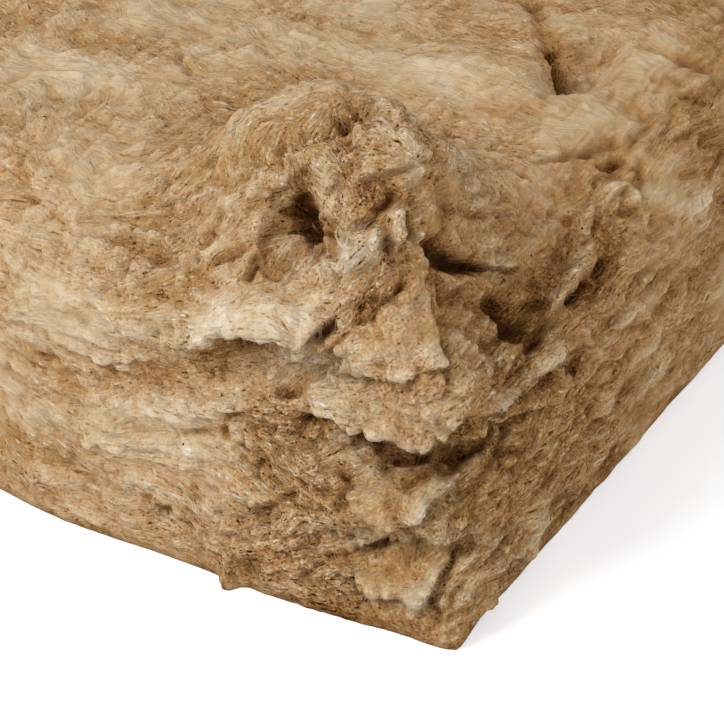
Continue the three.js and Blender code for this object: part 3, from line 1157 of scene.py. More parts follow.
def relief_layers(rest, shaped, direction, torn, end):
    """Every layer that the relief and the shade are made of. The plain numbers added to the
    places keep the noises from lining up."""
    push = noise_vector(rest / PUSH_PITCH) * PUSH
    ragged = noise_vector(rest / RAGGED_PITCH) * RAGGED
    swirl = noise_vector(shaped / SWIRL_PITCH + 31.7) * SWIRL
    curl_lines = noise((shaped + swirl) / CURL_PITCH + 7.7)
    layers = {
        "swells": layered_noise(shaped / SWELLS_PITCH + 3.3, 2),
        "clouds": layered_noise((shaped + push) / CLOUD_PITCH + 8.1, 2),
        "lumps": puffs(noise((shaped + push) / LUMP_PITCH)),
        "curls": puffs(curl_lines),
        "curl_edges": bell(curl_lines, CURL_EDGE_WIDTH),
        "grain": noise(shaped / GRAIN_PITCH),
    }
    for kind, (width, length, pushed, start, taps) in STREAKS.items():
        moved = shaped + push * pushed + start
        layers[kind] = streaks(moved, direction, width, length, taps)
    layers["creases"] = bell(layers["folds"], CREASE_WIDTH)
    layers["folds"] = puffs(layers["folds"])
    layers["fine_folds"] = puffs(layers["fine_folds"])
    layers["pits"] = np.clip(layers["pits"] - PIT_START, 0, 1)
    patches = noise((shaped + push) / SPLIT_PATCH_PITCH + 17.7)
    some = smooth_step((patches + SPLIT_START + TORN_SPLITS * torn) / SPLIT_RUN)
    layers["splits"] = bell(layers["splits"], SPLIT_WIDTH) * some
    flaky = 1 - (1 - END_FLAKES) * end
    for kind, (size, pushed, start, edge_width) in FLAKES.items():
        level, tilt, edge = flakes((rest + push * pushed + ragged) / size + start)
        layers[kind + "_flakes"] = flaky * (level - 0.5)
        layers[kind + "_tilts"] = flaky * tilt
        layers[kind + "_edges"] = flaky * np.exp(-edge / edge_width)
    return layers


def weighed(weights, layers, shares):
    """The layers of one table added up. The shares say where a place lies, from 0 to 1: on
    the top, at the torn corner and on the end face."""
    total = 0
    for name, (plain, *added) in weights.items():
        weight = plain + sum(more * share for more, share in zip(added, shares))
        total = total + weight * layers[name]
    return total


def felt_relief(rest, shaped, direction, marks):
    """The height of the felt over its plain form, how pale it is and how rough."""
    away = from_torn_edge(shaped)
    torn = bell(away, TORN_REACH)
    end = end_share(shaped)
    top = smooth_step((shaped[:, 2] - TOP_START) / TOP_RUN)
    clean = smooth_step((LENGTH / 2 - shaped[:, 0] - CLEAN_START) / CLEAN_RUN)
    shares = (top, torn, end)
    layers = relief_layers(rest, shaped, direction, torn, end)
    calm = marks["calm"] * (LEAST_RELIEF + (1 - LEAST_RELIEF) * np.maximum(torn, end))
    cloudy = smooth_step(CLOUD_START - CLOUD_GAIN * layers["clouds"])
    rough = CLOUD_ROUGH * cloudy + LEAST_ROUGH
    rough = np.clip(rough + TORN_ROUGH * torn + END_ROUGH * end, 0, 1) * calm
    coarse = calm * weighed(COARSE_HEIGHTS, layers, shares)
    fine = calm * weighed(FINE_HEIGHTS, layers, shares)
    fine += rough * weighed(ROUGH_HEIGHTS, layers, shares)
    fine += weighed(STREAK_HEIGHTS, layers, shares)
    height = (SWELLS_HEIGHT * layers["swells"] + coarse + fine) * MM + marks["height"]
    depth = fine + COARSE_DEPTH * coarse + MARK_DEPTH * marks["height"] / MM
    pale = MIDDLE_SHADE + weighed(SHADES_OF_LAYERS, layers, shares)
    pale += calm * weighed(PAINTED_SHADE_OF_CREASES, layers, shares)
    # Painted shade: the deeper the relief, the browner the colour.
    pale += DEPTH_PAINTED_SHADE * np.clip(depth, DEEPEST, HIGHEST) + MARK_TONE_AND_PAINTED_LIGHT * marks["pale"]
    pale += ROUGH_SHADE * (rough - 0.5) + CLEAN_SHADE * clean + END_SHADE * end
    crumbly = CRUMBLY_ROUGH * bell(away, CRUMBLY_REACH)
    crumbly *= CRUMBLY_LEAST + (1 - CRUMBLY_LEAST) * calm
    return height, pale, np.clip(rough + crumbly, 0, ROUGHEST)


# %% Raise the felt
LINE_GRIP = 1.5
FULL_RELIEF_HEIGHT = 10 * MM
FOOT_RELIEF = 0.25
HANG = 0.3
HANG_HEIGHT = 2 * MM
RUST_PITCH = 9 * MM
RUST_START = 0.55
FOOT_STAIN = 0.8
FOOT_STAIN_REACH = 2 * MM


def set_points(mesh, places):
    """Moves every point of a bmesh."""
    for vert, place in zip(mesh.verts, places):
        vert.co = place
    mesh.normal_update()


def normals_of(mesh):
    """The way each point of a bmesh faces."""
    return np.array([vert.normal[:] for vert in mesh.verts])


def plain_felt(mesh):
    """Gives a divided block the solid's form, and returns what the relief is made from."""
    points = np.array([vert.co[:] for vert in mesh.verts])
    rest = rounded(points)
    shaped = stroked(swelled(rest), rest, SOLID_STROKES)
    shaped = stroked(shaped, rest, FINE_STROKES)
    set_points(mesh, shaped)
    return {"points": points, "rest": rest, "shaped": shaped, "normals": normals_of(mesh)}


def raise_felt(mesh, plain, inset, placed):
    """Moves a block's points out to the felt, with its marks. Returns the felt's values."""
    shaped, normals = plain["shaped"], plain["normals"]
    direction = fibre_direction(shaped, normals)
    marks = marked(shaped, normals, direction, placed)
    direction = unit(direction + LINE_GRIP * marks["line"])
    height, pale, rough = felt_relief(plain["rest"], shaped, direction, marks)
    lifted = smooth_step(shaped[:, 2] / FULL_RELIEF_HEIGHT)
    height *= FOOT_RELIEF + (1 - FOOT_RELIEF) * lifted
    out = normals.copy()
    out[:, 2] -= HANG * (1 - np.abs(normals[:, 2])) * np.clip(height / HANG_HEIGHT, 0, 1)
    relief = shaped + out * height[:, None]
    relief -= normals * inset(plain["points"])[:, None]
    relief += marks["overhang"] * lifted[:, None]
    on_floor = plain["points"][:, 2] < FLOOR_LEVEL
    relief[:, 2] = np.where(on_floor, 0, np.maximum(relief[:, 2], 0))
    set_points(mesh, relief)
    print("relief, lowest and highest in mm:", height.min() / MM, height.max() / MM)
    print("paleness, 5, 50 and 95 percent:", np.percentile(pale, (5, 50, 95)).round(2))
    rust = marks["rust"] + np.clip(noise(shaped / RUST_PITCH + 21.5) - RUST_START, 0, 1)
    rust += FOOT_STAIN * bell(shaped[:, 2], FOOT_STAIN_REACH)
    return {"pale": pale, "rough": rough, "rust": rust,
            "direction": direction, "end": end_share(shaped), "wave": level_wave(shaped),
            "plain": normals, "facing": normals_of(mesh), "edge": marks["edge"],
            "over": marks["over"]}


def sheet_of(mesh, plain):
    """What a sight line needs, to find the plain form's place behind the felt."""
    mesh.verts.index_update()
    relief = np.array([vert.co[:] for vert in mesh.verts])
    return {"tree": BVHTree.FromBMesh(mesh), "relief": relief,
            "faces": [[vert.index for vert in face.verts] for face in mesh.faces],
            "shaped": plain["shaped"], "normals": plain["normals"]}


# %% [markdown]
# ## How the two blocks meet
#
# The corner's block stops a little inside the slab, and the slab sinks below the corner's
# surface a little further in. Between the two lines both show the same surface, so there is
# no seam to see.
#
# The felt is raised twice. The first time it has no marks, and the marks are placed on it.
# The second time it has them.

# %% Shape both blocks
SINK_DEPTH = 13 * MM
CORNER_SINK = 5 * MM
CORNER_BORDER = 6 * MM
SLAB_BORDER = 8 * MM
SLAB_SINK_RUN = 22 * MM


def slab_inset(points):
    """The slab sinks where the corner's block covers it."""
    return SINK_DEPTH * smooth_step((inside_corner(points) - SLAB_BORDER) / SLAB_SINK_RUN)


def corner_inset(points):
    """The corner's block dives under the slab at its border."""
    return CORNER_SINK * smooth_step(1 - inside_corner(points) / CORNER_BORDER)


slab_plain = plain_felt(slab_mesh)
corner_plain = plain_felt(corner_mesh)
raise_felt(slab_mesh, slab_plain, slab_inset, [])
raise_felt(corner_mesh, corner_plain, corner_inset, [])
marks_there = placed_marks([sheet_of(slab_mesh, slab_plain), sheet_of(corner_mesh, corner_plain)])
print("marks on the felt:", len(marks_there))
slab_values = raise_felt(slab_mesh, slab_plain, slab_inset, marks_there)
corner_values = raise_felt(corner_mesh, corner_plain, corner_inset, marks_there)

# %% [markdown]
# ## From bmesh to object
#
# Each finished piece becomes one object at the origin, unturned. Six values go with it for
# the colour: how pale, how rough and how rusty each point is, how much it belongs to the end
# face, which way its fibres run, and how the level fibres of the end face weave.

# %% Object helpers
def add_object(name, mesh):
    """An object at the origin that holds the mesh."""
    made = bpy.data.objects.new(name, mesh)
    scene.collection.objects.link(made)
    return made


def set_value(mesh, name, values):
    """One number for each point."""
    layer = mesh.attributes.new(name, "FLOAT", "POINT")
    layer.data.foreach_set("value", np.asarray(values, dtype=np.float32))


def set_vector(mesh, name, values):
    """One vector for each point."""
    layer = mesh.attributes.new(name, "FLOAT_VECTOR", "POINT")
    layer.data.foreach_set("vector", np.asarray(values, dtype=np.float32).ravel())


def felt_object(name, mesh, values):
    """Turns a shaped block into a smooth object with its values."""
    bmesh.ops.recalc_face_normals(mesh, faces=mesh.faces)
    felt = bpy.data.meshes.new(name)
    mesh.to_mesh(felt)
    mesh.free()
    felt.shade_smooth()
    for value_name in ("pale", "rough", "rust", "end"):
        set_value(felt, value_name, values[value_name])
    for value_name in ("direction", "wave"):
        set_vector(felt, value_name, values[value_name])
    triangles = sum(len(polygon.vertices) - 2 for polygon in felt.polygons)
    print(name + ":", triangles, "triangles")
    return add_object(name, felt)


slab = felt_object("felt_slab", slab_mesh, slab_values)
corner = felt_object("torn_corner", corner_mesh, corner_values)

# %% [markdown]
# ## Loose fibres
#
# The felt is fuzzy: fine fibres lie on it and stick out at the torn places. Each one is a
# closed spindle of twelve triangles, pointed at both ends, with two rings between. Hair
# curves would be quicker to make, but they would not be part of the mesh. The stations of
# each fibre are dropped onto the felt by a ray, so that it follows the lumps under it, and
# it is flat, and it is lit as the felt under it is, because a rounded one has a dark side.

# %% Seeding places on the felt
RAY_START = 8 * MM
RAY_REACH = 16 * MM
LEAST_SEEDS = 0.1


def surface_of(piece):
    """A tree for rays, and the corners, middles and areas of the piece's triangles."""
    mesh = piece.data
    mesh.calc_loop_triangles()
    corners = np.empty(len(mesh.loop_triangles) * 3, dtype=np.int32)
    mesh.loop_triangles.foreach_get("vertices", corners)
    corners = corners.reshape(-1, 3)
    places = np.empty(len(mesh.vertices) * 3, dtype=np.float32)
    mesh.vertices.foreach_get("co", places)
    places = places.reshape(-1, 3).astype(np.float64)
    tree = BVHTree.FromPolygons(places.tolist(), corners.tolist())
    sides = places[corners]
    cross = np.cross(sides[:, 1] - sides[:, 0], sides[:, 2] - sides[:, 0])
    return {"tree": tree, "corners": corners, "places": places,
            "middles": sides.mean(axis=1), "areas": np.linalg.norm(cross, axis=1) / 2}


def seeds_on(surface, values, count, density, random):
    """Random places on a felt piece, with the values of the points round each of them."""
    tufty = values["rough"][surface["corners"]].mean(axis=1) + LEAST_SEEDS
    weight = surface["areas"] * density(surface["middles"]) * tufty
    chosen = random.choice(len(weight), size=count, p=weight / weight.sum())
    shares = random.dirichlet((1, 1, 1), size=count)
    corners = surface["corners"][chosen]
    result = {"place": (surface["places"][corners] * shares[:, :, None]).sum(axis=1)}
    for name, numbers in values.items():
        spread = shares if numbers.ndim == 1 else shares[:, :, None]
        result[name] = (numbers[corners] * spread).sum(axis=1)
    return result


# %% Strands
STRAND_STATIONS = np.array((-0.5, -0.17, 0.18, 0.5))
FLATNESS = 0.25
SPINDLE_POINTS = 8
SPINDLE_TRIANGLES = 12
OVER_FLOOR = 0.1 * MM
NOISE_TURN = 1.2
NOISE_TURN_PITCH = 7 * MM
LOCK_TURN = 0.4
LOCK_BEND = 0.12
LOCK_SHADE = 0.06
SHADE_DROP = 0.02
LOCK_WIDTH = 0.45 * MM
LOCK_STAGGER = 1.2 * MM
FAN = 0.09
SHORTEST_SHARE = 0.6
LIFT = 0.3 * MM
TIP_LIFT = 0.8 * MM
PALE_STRAND = 0.16
FRINGE_LEAN = 0.45
FRINGE_RISE = 0.35
FRINGE_ROOT = 0.3
FRINGE_SAG = 0.25
FRINGE_SHADE = 0.1
FRINGE_SHORTEST = 0.4


def spindles(name, stations, across, normal, half_width, half_height, values):
    """One mesh of closed spindles: a point, two rings of three and a point for each."""
    count = len(half_width)
    rings = []
    for station in (1, 2):
        for corner in range(3):
            angle = 2 * math.pi * corner / 3 + math.pi / 2
            rings.append(stations[station] + across * (math.cos(angle) * half_width)[:, None]
                         + normal * (math.sin(angle) * half_height)[:, None])
    vertices = np.stack([stations[0]] + rings + [stations[3]], axis=1)
    vertices[:, :, 2] = np.maximum(vertices[:, :, 2], OVER_FLOOR)
    one = [(0, 2, 1), (0, 3, 2), (0, 1, 3), (7, 4, 5), (7, 5, 6), (7, 6, 4)]
    for corner in range(3):
        after = (corner + 1) % 3
        one.append((1 + corner, 1 + after, 4 + after, 4 + corner))
    faces = [tuple(point + SPINDLE_POINTS * i for point in face)
             for i in range(count) for face in one]
    mesh = bpy.data.meshes.new(name)
    mesh.from_pydata(vertices.reshape(-1, 3).tolist(), [], faces)
    for value_name, numbers in values.items():
        if numbers.ndim == 1:
            set_value(mesh, value_name, np.repeat(numbers, SPINDLE_POINTS))
        else:
            set_vector(mesh, value_name, np.repeat(numbers, SPINDLE_POINTS, axis=0))
    print(name + ":", count, "spindles,", count * SPINDLE_TRIANGLES, "triangles")
    return add_object(name, mesh)


def dropped(surface, places, normal):
    """Each place moved along its normal onto the felt."""
    landed = places.copy()
    starts = places + normal * RAY_START
    for i in range(len(places)):
        hit = surface["tree"].ray_cast(starts[i].tolist(), (-normal[i]).tolist(), RAY_REACH)
        if hit[0] is not None:
            landed[i] = hit[0]
    return landed


def strands(name, surface, values, count, density, seed, length, width, lock,
            tip_lift=TIP_LIFT):
    """Fibres lying on the felt in one mesh, lock by lock. Pairs are ranges in metres."""
    random = np.random.default_rng(seed)
    locks = count // lock
    seeds = seeds_on(surface, values, locks, density, random)
    lengths = random.uniform(*length, size=locks)
    turned = NOISE_TURN * noise(seeds["place"] / NOISE_TURN_PITCH + seed)
    turned += LOCK_TURN * random.normal(size=locks)
    bend = random.normal(size=locks) * LOCK_BEND * lengths
    shade = seeds["pale"] + random.normal(size=locks) * LOCK_SHADE - SHADE_DROP
    tips = tip_lift * random.random(locks) ** 6
    normal = unit(seeds["plain"] + seeds["facing"])
    along = unit(seeds["direction"])
    across = np.cross(normal, along)
    along = along * np.cos(turned)[:, None] + across * np.sin(turned)[:, None]
    along = unit(along - (along * normal).sum(axis=1)[:, None] * normal)
    place, normal, along, lengths, bend, shade, tips, rust = (
        np.repeat(one, lock, axis=0)
        for one in (seeds["place"], normal, along, lengths, bend, shade, tips, seeds["rust"]))
    count = locks * lock
    across = np.cross(normal, along)
    place = place + across * random.normal(size=(count, 1)) * LOCK_WIDTH
    place = place + along * random.normal(size=(count, 1)) * LOCK_STAGGER
    spread = random.normal(size=count) * FAN
    lengths = lengths * random.uniform(SHORTEST_SHARE, 1, size=count)
    lifts = random.random(count) ** 2 * LIFT
    stations = []
    for share in STRAND_STATIONS:
        sideways = bend * (1 - 4 * share * share) + spread * lengths * share
        base = place + along * (lengths * share)[:, None] + across * sideways[:, None]
        raised = lifts + tips * max(0.0, share * 2) ** 2
        stations.append(dropped(surface, base, normal) + normal * raised[:, None])
    half = random.uniform(*width, size=count) / 2
    shade = shade + PALE_STRAND * random.random(count) ** 2
    return spindles(name, stations, across, normal, half, half * FLATNESS,
                    {"pale": shade, "rust": rust, "facing": normal})


def fringe(name, surface, values, count, seed, length, width):
    """Short fibres at the open edges of the ledges. They reach out over the crevices."""
    random = np.random.default_rng(seed)
    weights = values["edge"][surface["corners"]].mean(axis=1) + 1e-9
    seeds = seeds_on(surface, values, count, lambda middles: weights, random)
    place, normal = seeds["place"], unit(seeds["plain"] + seeds["facing"])
    lean = random.normal(size=(count, 3)) * FRINGE_LEAN
    along = unit(unit(seeds["over"]) + FRINGE_RISE * normal + lean)
    across = unit(np.cross(normal, along))
    lengths = random.uniform(*length, size=count)
    lengths *= random.uniform(FRINGE_SHORTEST, 1, size=count)
    sag = random.random(count) * FRINGE_SAG * lengths
    stations = []
    for share in STRAND_STATIONS:
        reach = share + FRINGE_ROOT
        base = place + along * (lengths * reach)[:, None]
        base[:, 2] -= sag * max(reach, 0) ** 2
        stations.append(base)
    half = random.uniform(*width, size=count) / 2
    shade = seeds["pale"] + random.normal(size=count) * FRINGE_SHADE
    return spindles(name, stations, across, normal, half, half,
                    {"pale": shade, "rust": seeds["rust"], "facing": normal})


# %% Grow the fibres
CLOSE_REACH = 150 * MM
CLOSE_LEAST = 0.35
BEYOND_REACH = 260 * MM
BEYOND_LEAST = 0.02
FOOT_HEIGHT = 1 * MM
SEAM_LINE = 7 * MM


def near_corner(places):
    """More fibres close to the torn corner, all of them on the corner's own block."""
    grown = (places[:, 2] > FOOT_HEIGHT) & (inside_corner(places) > SEAM_LINE)
    return grown * (CLOSE_LEAST + bell(from_torn_edge(places), CLOSE_REACH))


def beyond_corner(places):
    """Fibres on the rest of the slab, thinning out away from the torn corner."""
    grown = (places[:, 2] > FOOT_HEIGHT) & (inside_corner(places) < SEAM_LINE)
    return grown * (BEYOND_LEAST + np.exp(-(from_torn_edge(places) / BEYOND_REACH) ** 4))


corner_surface = surface_of(corner)
slab_surface = surface_of(slab)
loose = [
    strands("fibres_short", corner_surface, corner_values, count=14000, density=near_corner,
            seed=1, length=(2 * MM, 6 * MM), width=(0.08 * MM, 0.15 * MM), lock=4),
    strands("fibres_long", corner_surface, corner_values, count=6000, density=near_corner,
            seed=2, length=(5 * MM, 12 * MM), width=(0.08 * MM, 0.15 * MM), lock=6,
            tip_lift=1.4 * MM),
    fringe("fringes", corner_surface, corner_values, count=5000, seed=5,
           length=(0.8 * MM, 2.6 * MM), width=(0.07 * MM, 0.12 * MM)),
    strands("fibres_beyond", slab_surface, slab_values, count=5000, density=beyond_corner,
            seed=3, length=(4 * MM, 12 * MM), width=(0.10 * MM, 0.17 * MM), lock=4),
]

# %% [markdown]
# ## The wool finish
#
# Stone wool is dull and warm: cream where clean fibres lie close and tan in between, with rust
# stains where the binder has burnt and tiny black beads of rock that was never spun. The
# creases are painted brown as well, which is painted shade. A little light passes under the
# surface, which softens the small shadows.
#
# The streaks come from a node group that reads the fibre direction and averages several
# noises along it. On the end face, where all fibres run level, one noise stretched along Y
# does the same, and the weave bends it up and down.

# %% Fibre streak group
STREAK_TAPS = 7
STREAK_LOW = 0.35
STREAK_HIGH = 0.65
LEVEL_SQUEEZE = (1, 0.11, 1)
LEVEL_LOW = 0.05
LEVEL_HIGH = 0.95


def streak_group():
    """A node group: noise smeared along the fibre direction, as a mask from 0 to 1."""
    group = bpy.data.node_groups.new("fibre_streaks", "ShaderNodeTree")
    for name, way in (("Scale", "INPUT"), ("Length", "INPUT"), ("Mask", "OUTPUT")):
        group.interface.new_socket(name=name, in_out=way, socket_type="NodeSocketFloat")
    inlet = add_node(group, "NodeGroupInput", (-1400, 0))
    outlet = add_node(group, "NodeGroupOutput", (900, 0))
    coordinate = add_node(group, "ShaderNodeTexCoord", (-1200, 300))
    direction_in = add_node(group, "ShaderNodeAttribute", (-1200, -300),
                            attribute_name="direction")
    step = add_node(group, "ShaderNodeVectorMath", (-900, -200), operation="SCALE")
    group.links.new(direction_in.outputs["Vector"], step.inputs[0])
    group.links.new(inlet.outputs["Length"], step.inputs["Scale"])
    total = None
    for tap in range(STREAK_TAPS):
        share = tap / (STREAK_TAPS - 1) - 0.5
        shift = add_node(group, "ShaderNodeVectorMath", (-600, 800 - 200 * tap),
                         operation="MULTIPLY_ADD")
        shift.inputs[1].default_value = (share, share, share)
        group.links.new(step.outputs[0], shift.inputs[0])
        group.links.new(coordinate.outputs["Object"], shift.inputs[2])
        cloud = add_node(group, "ShaderNodeTexNoise", (-350, 600 - 200 * tap),
                         inputs={"Detail": 0.0})
        group.links.new(shift.outputs[0], cloud.inputs["Vector"])
        group.links.new(inlet.outputs["Scale"], cloud.inputs["Scale"])
        if total is None:
            total = cloud.outputs[0]
        else:
            add = add_node(group, "ShaderNodeMath", (-50, 600 - 200 * tap), operation="ADD")
            group.links.new(total, add.inputs[0])
            group.links.new(cloud.outputs[0], add.inputs[1])
            total = add.outputs[0]
    wave = add_node(group, "ShaderNodeAttribute", (-1100, 900), attribute_name="wave")
    wavy = add_node(group, "ShaderNodeVectorMath", (-900, 900), operation="ADD")
    group.links.new(wave.outputs["Vector"], wavy.inputs[0])
    group.links.new(coordinate.outputs["Object"], wavy.inputs[1])
    long_y = add_node(group, "ShaderNodeVectorMath", (-700, 1000), operation="MULTIPLY")
    long_y.inputs[1].default_value = LEVEL_SQUEEZE
    group.links.new(wavy.outputs[0], long_y.inputs[0])
    level = add_node(group, "ShaderNodeTexNoise", (-500, 1000), inputs={"Detail": 0.0})
    group.links.new(long_y.outputs[0], level.inputs["Vector"])
    group.links.new(inlet.outputs["Scale"], level.inputs["Scale"])
    stretch = add_node(group, "ShaderNodeMapRange", (300, 0),
                       inputs={"From Min": STREAK_TAPS * STREAK_LOW,
                               "From Max": STREAK_TAPS * STREAK_HIGH})
    group.links.new(total, stretch.inputs["Value"])
    stretch_level = add_node(group, "ShaderNodeMapRange", (300, 400),
                             inputs={"From Min": LEVEL_LOW, "From Max": LEVEL_HIGH})
    group.links.new(level.outputs[0], stretch_level.inputs["Value"])
    end = add_node(group, "ShaderNodeAttribute", (300, -300), attribute_name="end")
    choice = add_node(group, "ShaderNodeMix", (600, 0), data_type="FLOAT")
    group.links.new(end.outputs["Fac"], choice.inputs[0])
    group.links.new(stretch.outputs[0], choice.inputs[2])
    group.links.new(stretch_level.outputs[0], choice.inputs[3])
    group.links.new(choice.outputs[0], outlet.inputs["Mask"])
    return group


fibre_streaks = streak_group()

# %% Material helpers
SHADES = (
    (0.00, (0.030, 0.011, 0.002, 1)),
    (0.22, (0.180, 0.080, 0.021, 1)),
    (0.45, (0.395, 0.234, 0.097, 1)),
    (0.68, (0.570, 0.455, 0.305, 1)),
    (1.00, (0.780, 0.750, 0.700, 1)),
)
RUST = (0.33, 0.135, 0.030, 1)
BEAD = (0.020, 0.014, 0.010, 1)


def math_node(tree, operation, place, *values):
    """A Math node. Each value is a socket or a number."""
    node = add_node(tree, "ShaderNodeMath", place, operation=operation)
    for socket, value in zip(node.inputs, values):
        if isinstance(value, bpy.types.NodeSocket):
            tree.links.new(value, socket)
        else:
            socket.default_value = value
    return node.outputs[0]


def mix_colour(tree, factor, first, second, place):
    """A Mix node for colours. Each argument is a socket or a plain value."""
    node = add_node(tree, "ShaderNodeMix", place, data_type="RGBA")
    for socket, value in ((node.inputs[0], factor), (node.inputs[6], first),
                          (node.inputs[7], second)):
        if isinstance(value, bpy.types.NodeSocket):
            tree.links.new(value, socket)
        else:
            socket.default_value = value
    return node.outputs[2]


def ranged(tree, source, low, high, place, to_low=0.0, to_high=1.0):
    """Stretches a value from one range onto another."""
    node = add_node(tree, "ShaderNodeMapRange", place,
                    inputs={"From Min": low, "From Max": high,
                            "To Min": to_low, "To Max": to_high})
    tree.links.new(source, node.inputs["Value"])
    return node.outputs[0]


def cubed(tree, source, place):
    """A mask's distance from its middle, cubed: nothing much, with a few strong places."""
    middle = math_node(tree, "SUBTRACT", place, source, 0.5)
    square = math_node(tree, "MULTIPLY", (place[0] + 100, place[1]), middle, middle)
    return math_node(tree, "MULTIPLY", (place[0] + 200, place[1]), square, middle)


def streak_mask(tree, scale, length, place):
    """The fibre streaks at one size."""
    node = add_node(tree, "ShaderNodeGroup", place, node_tree=fibre_streaks)
    node.inputs["Scale"].default_value = scale
    node.inputs["Length"].default_value = length
    return node.outputs["Mask"]


def value_of(tree, name, place):
    """A value that the mesh carries at its points."""
    return add_node(tree, "ShaderNodeAttribute", place, attribute_name=name).outputs["Fac"]


def shade_ramp(tree, source, place):
    """The colours of the wool, from the deepest brown to the palest cream."""
    ramp = add_node(tree, "ShaderNodeValToRGB", place)
    stops = ramp.color_ramp.elements
    while len(stops) < len(SHADES):
        stops.new(0.5)
    for stop, (position, colour) in zip(stops, SHADES):
        stop.position = position
        stop.color = colour
    tree.links.new(source, ramp.inputs[0])
    return ramp.outputs[0]


# %% The felt's material
WOOL_ROUGHNESS = 0.95
WOOL_SHINE = 0.08
UNDER_SURFACE = 0.35
UNDER_SURFACE_COLOURS = (1.0, 0.45, 0.2)
UNDER_SURFACE_REACH = 2 * MM
# The scale and the length of three sizes of streak.
BROAD = (420, 9 * MM)
FINE = (1250, 4.2 * MM)
FINEST = (2500, 2.2 * MM)
SLIVER_ROUGH = 3.3
SLIVER_LEAST = 0.4
SOFT_ROUGH = 0.08
SOFT_LEAST = 0.04
SOFT_SHIFT = -0.04
BROAD_SHADE = 0.08
GRAIN_SCALE = 1200
GRAIN_SHADE = 0.42
PIT_SHADOW_START = 0.32
PIT_SHADOW_FULL = 0.24
PAINTED_PIT_SHADOW = -0.20
RUST_STREAKS = 0.8
RUST_LEAST = 0.1
RUST_FULL = 0.7
FIBRE_RUST_FULL = 1.4
RUST_MOST = 0.75
BEAD_SCALE = 75
BEAD_START = 0.034
BEAD_FULL = 0.024
BUMP_FINE = 0.6
BUMP_SLIVERS = 1.5
BUMP_STRENGTH = 0.8
BUMP_HEIGHT = 0.5 * MM
FIBRE_ROUGHNESS = 1
FIBRE_SHINE = 0.02


def plain_material(name, roughness, shine):
    """A new material with its node tree and its shader."""
    material = bpy.data.materials.new(name)
    material.use_nodes = True
    shader = material.node_tree.nodes["Principled BSDF"]
    shader.inputs["Roughness"].default_value = roughness
    shader.inputs["Specular IOR Level"].default_value = shine
    return material, material.node_tree, shader


def wool_shade(tree, coordinate, rough, fine):
    """The felt's shade with its streaks, grains and painted pit shadows, and the slivers by
    themselves.
    """
    pale = value_of(tree, "pale", (-1800, 300))
    broad = streak_mask(tree, *BROAD, (-1500, 0))
    finest = streak_mask(tree, *FINEST, (-1500, -300))
    slivers = math_node(tree, "ADD", (-1000, -100), cubed(tree, fine, (-1300, -50)),
                        cubed(tree, finest, (-1300, -250)))
    contrast = math_node(tree, "MULTIPLY_ADD", (-1200, -100), rough, SLIVER_ROUGH, SLIVER_LEAST)
    slivers = math_node(tree, "MULTIPLY", (-900, -200), slivers, contrast)
    softness = math_node(tree, "MULTIPLY_ADD", (-1200, 200), rough, SOFT_ROUGH, SOFT_LEAST)
    soft = math_node(tree, "SUBTRACT", (-1100, 100), fine, 0.5)
    soft = math_node(tree, "MULTIPLY_ADD", (-1000, 100), soft, softness, SOFT_SHIFT)
    soft = math_node(tree, "MULTIPLY_ADD", (-900, 100), broad, BROAD_SHADE, soft)
    shade = math_node(tree, "ADD", (-800, 300), pale, soft)
    shade = math_node(tree, "ADD", (-600, 300), slivers, shade)
    grain = add_node(tree, "ShaderNodeTexNoise", (-1500, -500),
                     inputs={"Scale": GRAIN_SCALE, "Detail": 1.0, "Roughness": 0.6})
    tree.links.new(coordinate, grain.inputs["Vector"])
    grains = math_node(tree, "SUBTRACT", (-1200, -600), grain.outputs[0], 0.5)
    grains = math_node(tree, "MULTIPLY", (-1000, -600), grains, rough)
    shade = math_node(tree, "MULTIPLY_ADD", (-500, 300), grains, GRAIN_SHADE, shade)
    # Where the grain noise is low, dark specks paint the small shadows of pits between fibres.
    dark = ranged(tree, grain.outputs[0], PIT_SHADOW_START, PIT_SHADOW_FULL, (-1200, -500))
    dark = math_node(tree, "MULTIPLY", (-1000, -500), dark, rough)
    shade = math_node(tree, "MULTIPLY_ADD", (-400, 300), dark, PAINTED_PIT_SHADOW, shade)
    return shade, slivers


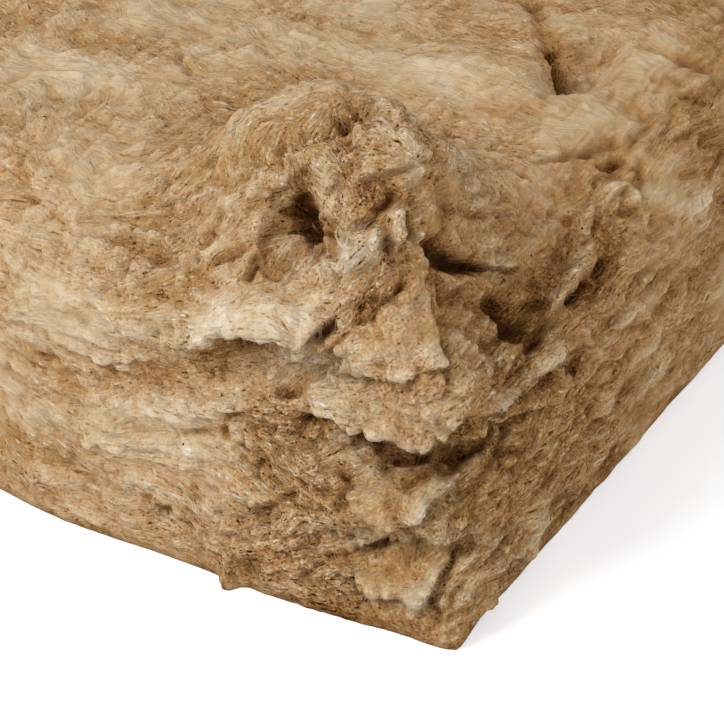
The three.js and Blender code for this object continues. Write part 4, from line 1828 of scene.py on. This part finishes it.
def wool_material():
    """The finish of the felted slab."""
    material, tree, shader = plain_material("wool", WOOL_ROUGHNESS, WOOL_SHINE)
    shader.subsurface_method = "BURLEY"
    shader.inputs["Subsurface Weight"].default_value = UNDER_SURFACE
    shader.inputs["Subsurface Radius"].default_value = UNDER_SURFACE_COLOURS
    shader.inputs["Subsurface Scale"].default_value = UNDER_SURFACE_REACH
    coordinate = add_node(tree, "ShaderNodeTexCoord", (-1800, 0)).outputs["Object"]
    rough = value_of(tree, "rough", (-1800, -300))
    rust = value_of(tree, "rust", (-1800, -500))
    fine = streak_mask(tree, *FINE, (-1500, -150))
    shade, slivers = wool_shade(tree, coordinate, rough, fine)
    colour = shade_ramp(tree, shade, (-200, 300))
    rusty = math_node(tree, "MULTIPLY_ADD", (-600, 0), fine, RUST_STREAKS, RUST_LEAST)
    rusty = math_node(tree, "MULTIPLY", (-400, 0), rusty, rust)
    rusty = ranged(tree, rusty, 0.0, RUST_FULL, (-200, 0), 0.0, RUST_MOST)
    colour = mix_colour(tree, rusty, colour, RUST, (100, 300))
    bead = add_node(tree, "ShaderNodeTexVoronoi", (-400, -250), inputs={"Scale": BEAD_SCALE})
    tree.links.new(coordinate, bead.inputs["Vector"])
    beads = ranged(tree, bead.outputs["Distance"], BEAD_START, BEAD_FULL, (-200, -250))
    colour = mix_colour(tree, beads, colour, BEAD, (300, 300))
    tree.links.new(colour, shader.inputs["Base Color"])
    height = math_node(tree, "MULTIPLY", (-500, -500), fine, BUMP_FINE)
    height = math_node(tree, "MULTIPLY_ADD", (-350, -500), slivers, BUMP_SLIVERS, height)
    bump = add_node(tree, "ShaderNodeBump", (0, -500),
                    inputs={"Strength": BUMP_STRENGTH, "Distance": BUMP_HEIGHT})
    tree.links.new(height, bump.inputs["Height"])
    tree.links.new(bump.outputs[0], shader.inputs["Normal"])
    return material


def fibre_material():
    """The finish of the loose fibres."""
    material, tree, shader = plain_material("loose_fibre", FIBRE_ROUGHNESS, FIBRE_SHINE)
    facing = add_node(tree, "ShaderNodeAttribute", (-200, -300), attribute_name="facing")
    tree.links.new(facing.outputs["Vector"], shader.inputs["Normal"])
    pale = value_of(tree, "pale", (-1200, 300))
    rust = value_of(tree, "rust", (-1200, 0))
    colour = shade_ramp(tree, pale, (-500, 300))
    rusty = ranged(tree, rust, 0.0, FIBRE_RUST_FULL, (-500, 0), 0.0, RUST_MOST)
    colour = mix_colour(tree, rusty, colour, RUST, (-200, 300))
    tree.links.new(colour, shader.inputs["Base Color"])
    return material


wool = wool_material()
for piece in (slab, corner):
    piece.data.materials.append(wool)
    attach(piece, "root")
    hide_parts("wool_batt")

fibre = fibre_material()
for piece in loose:
    piece.data.materials.append(fibre)
    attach(piece, "root")
    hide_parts("wool_batt")
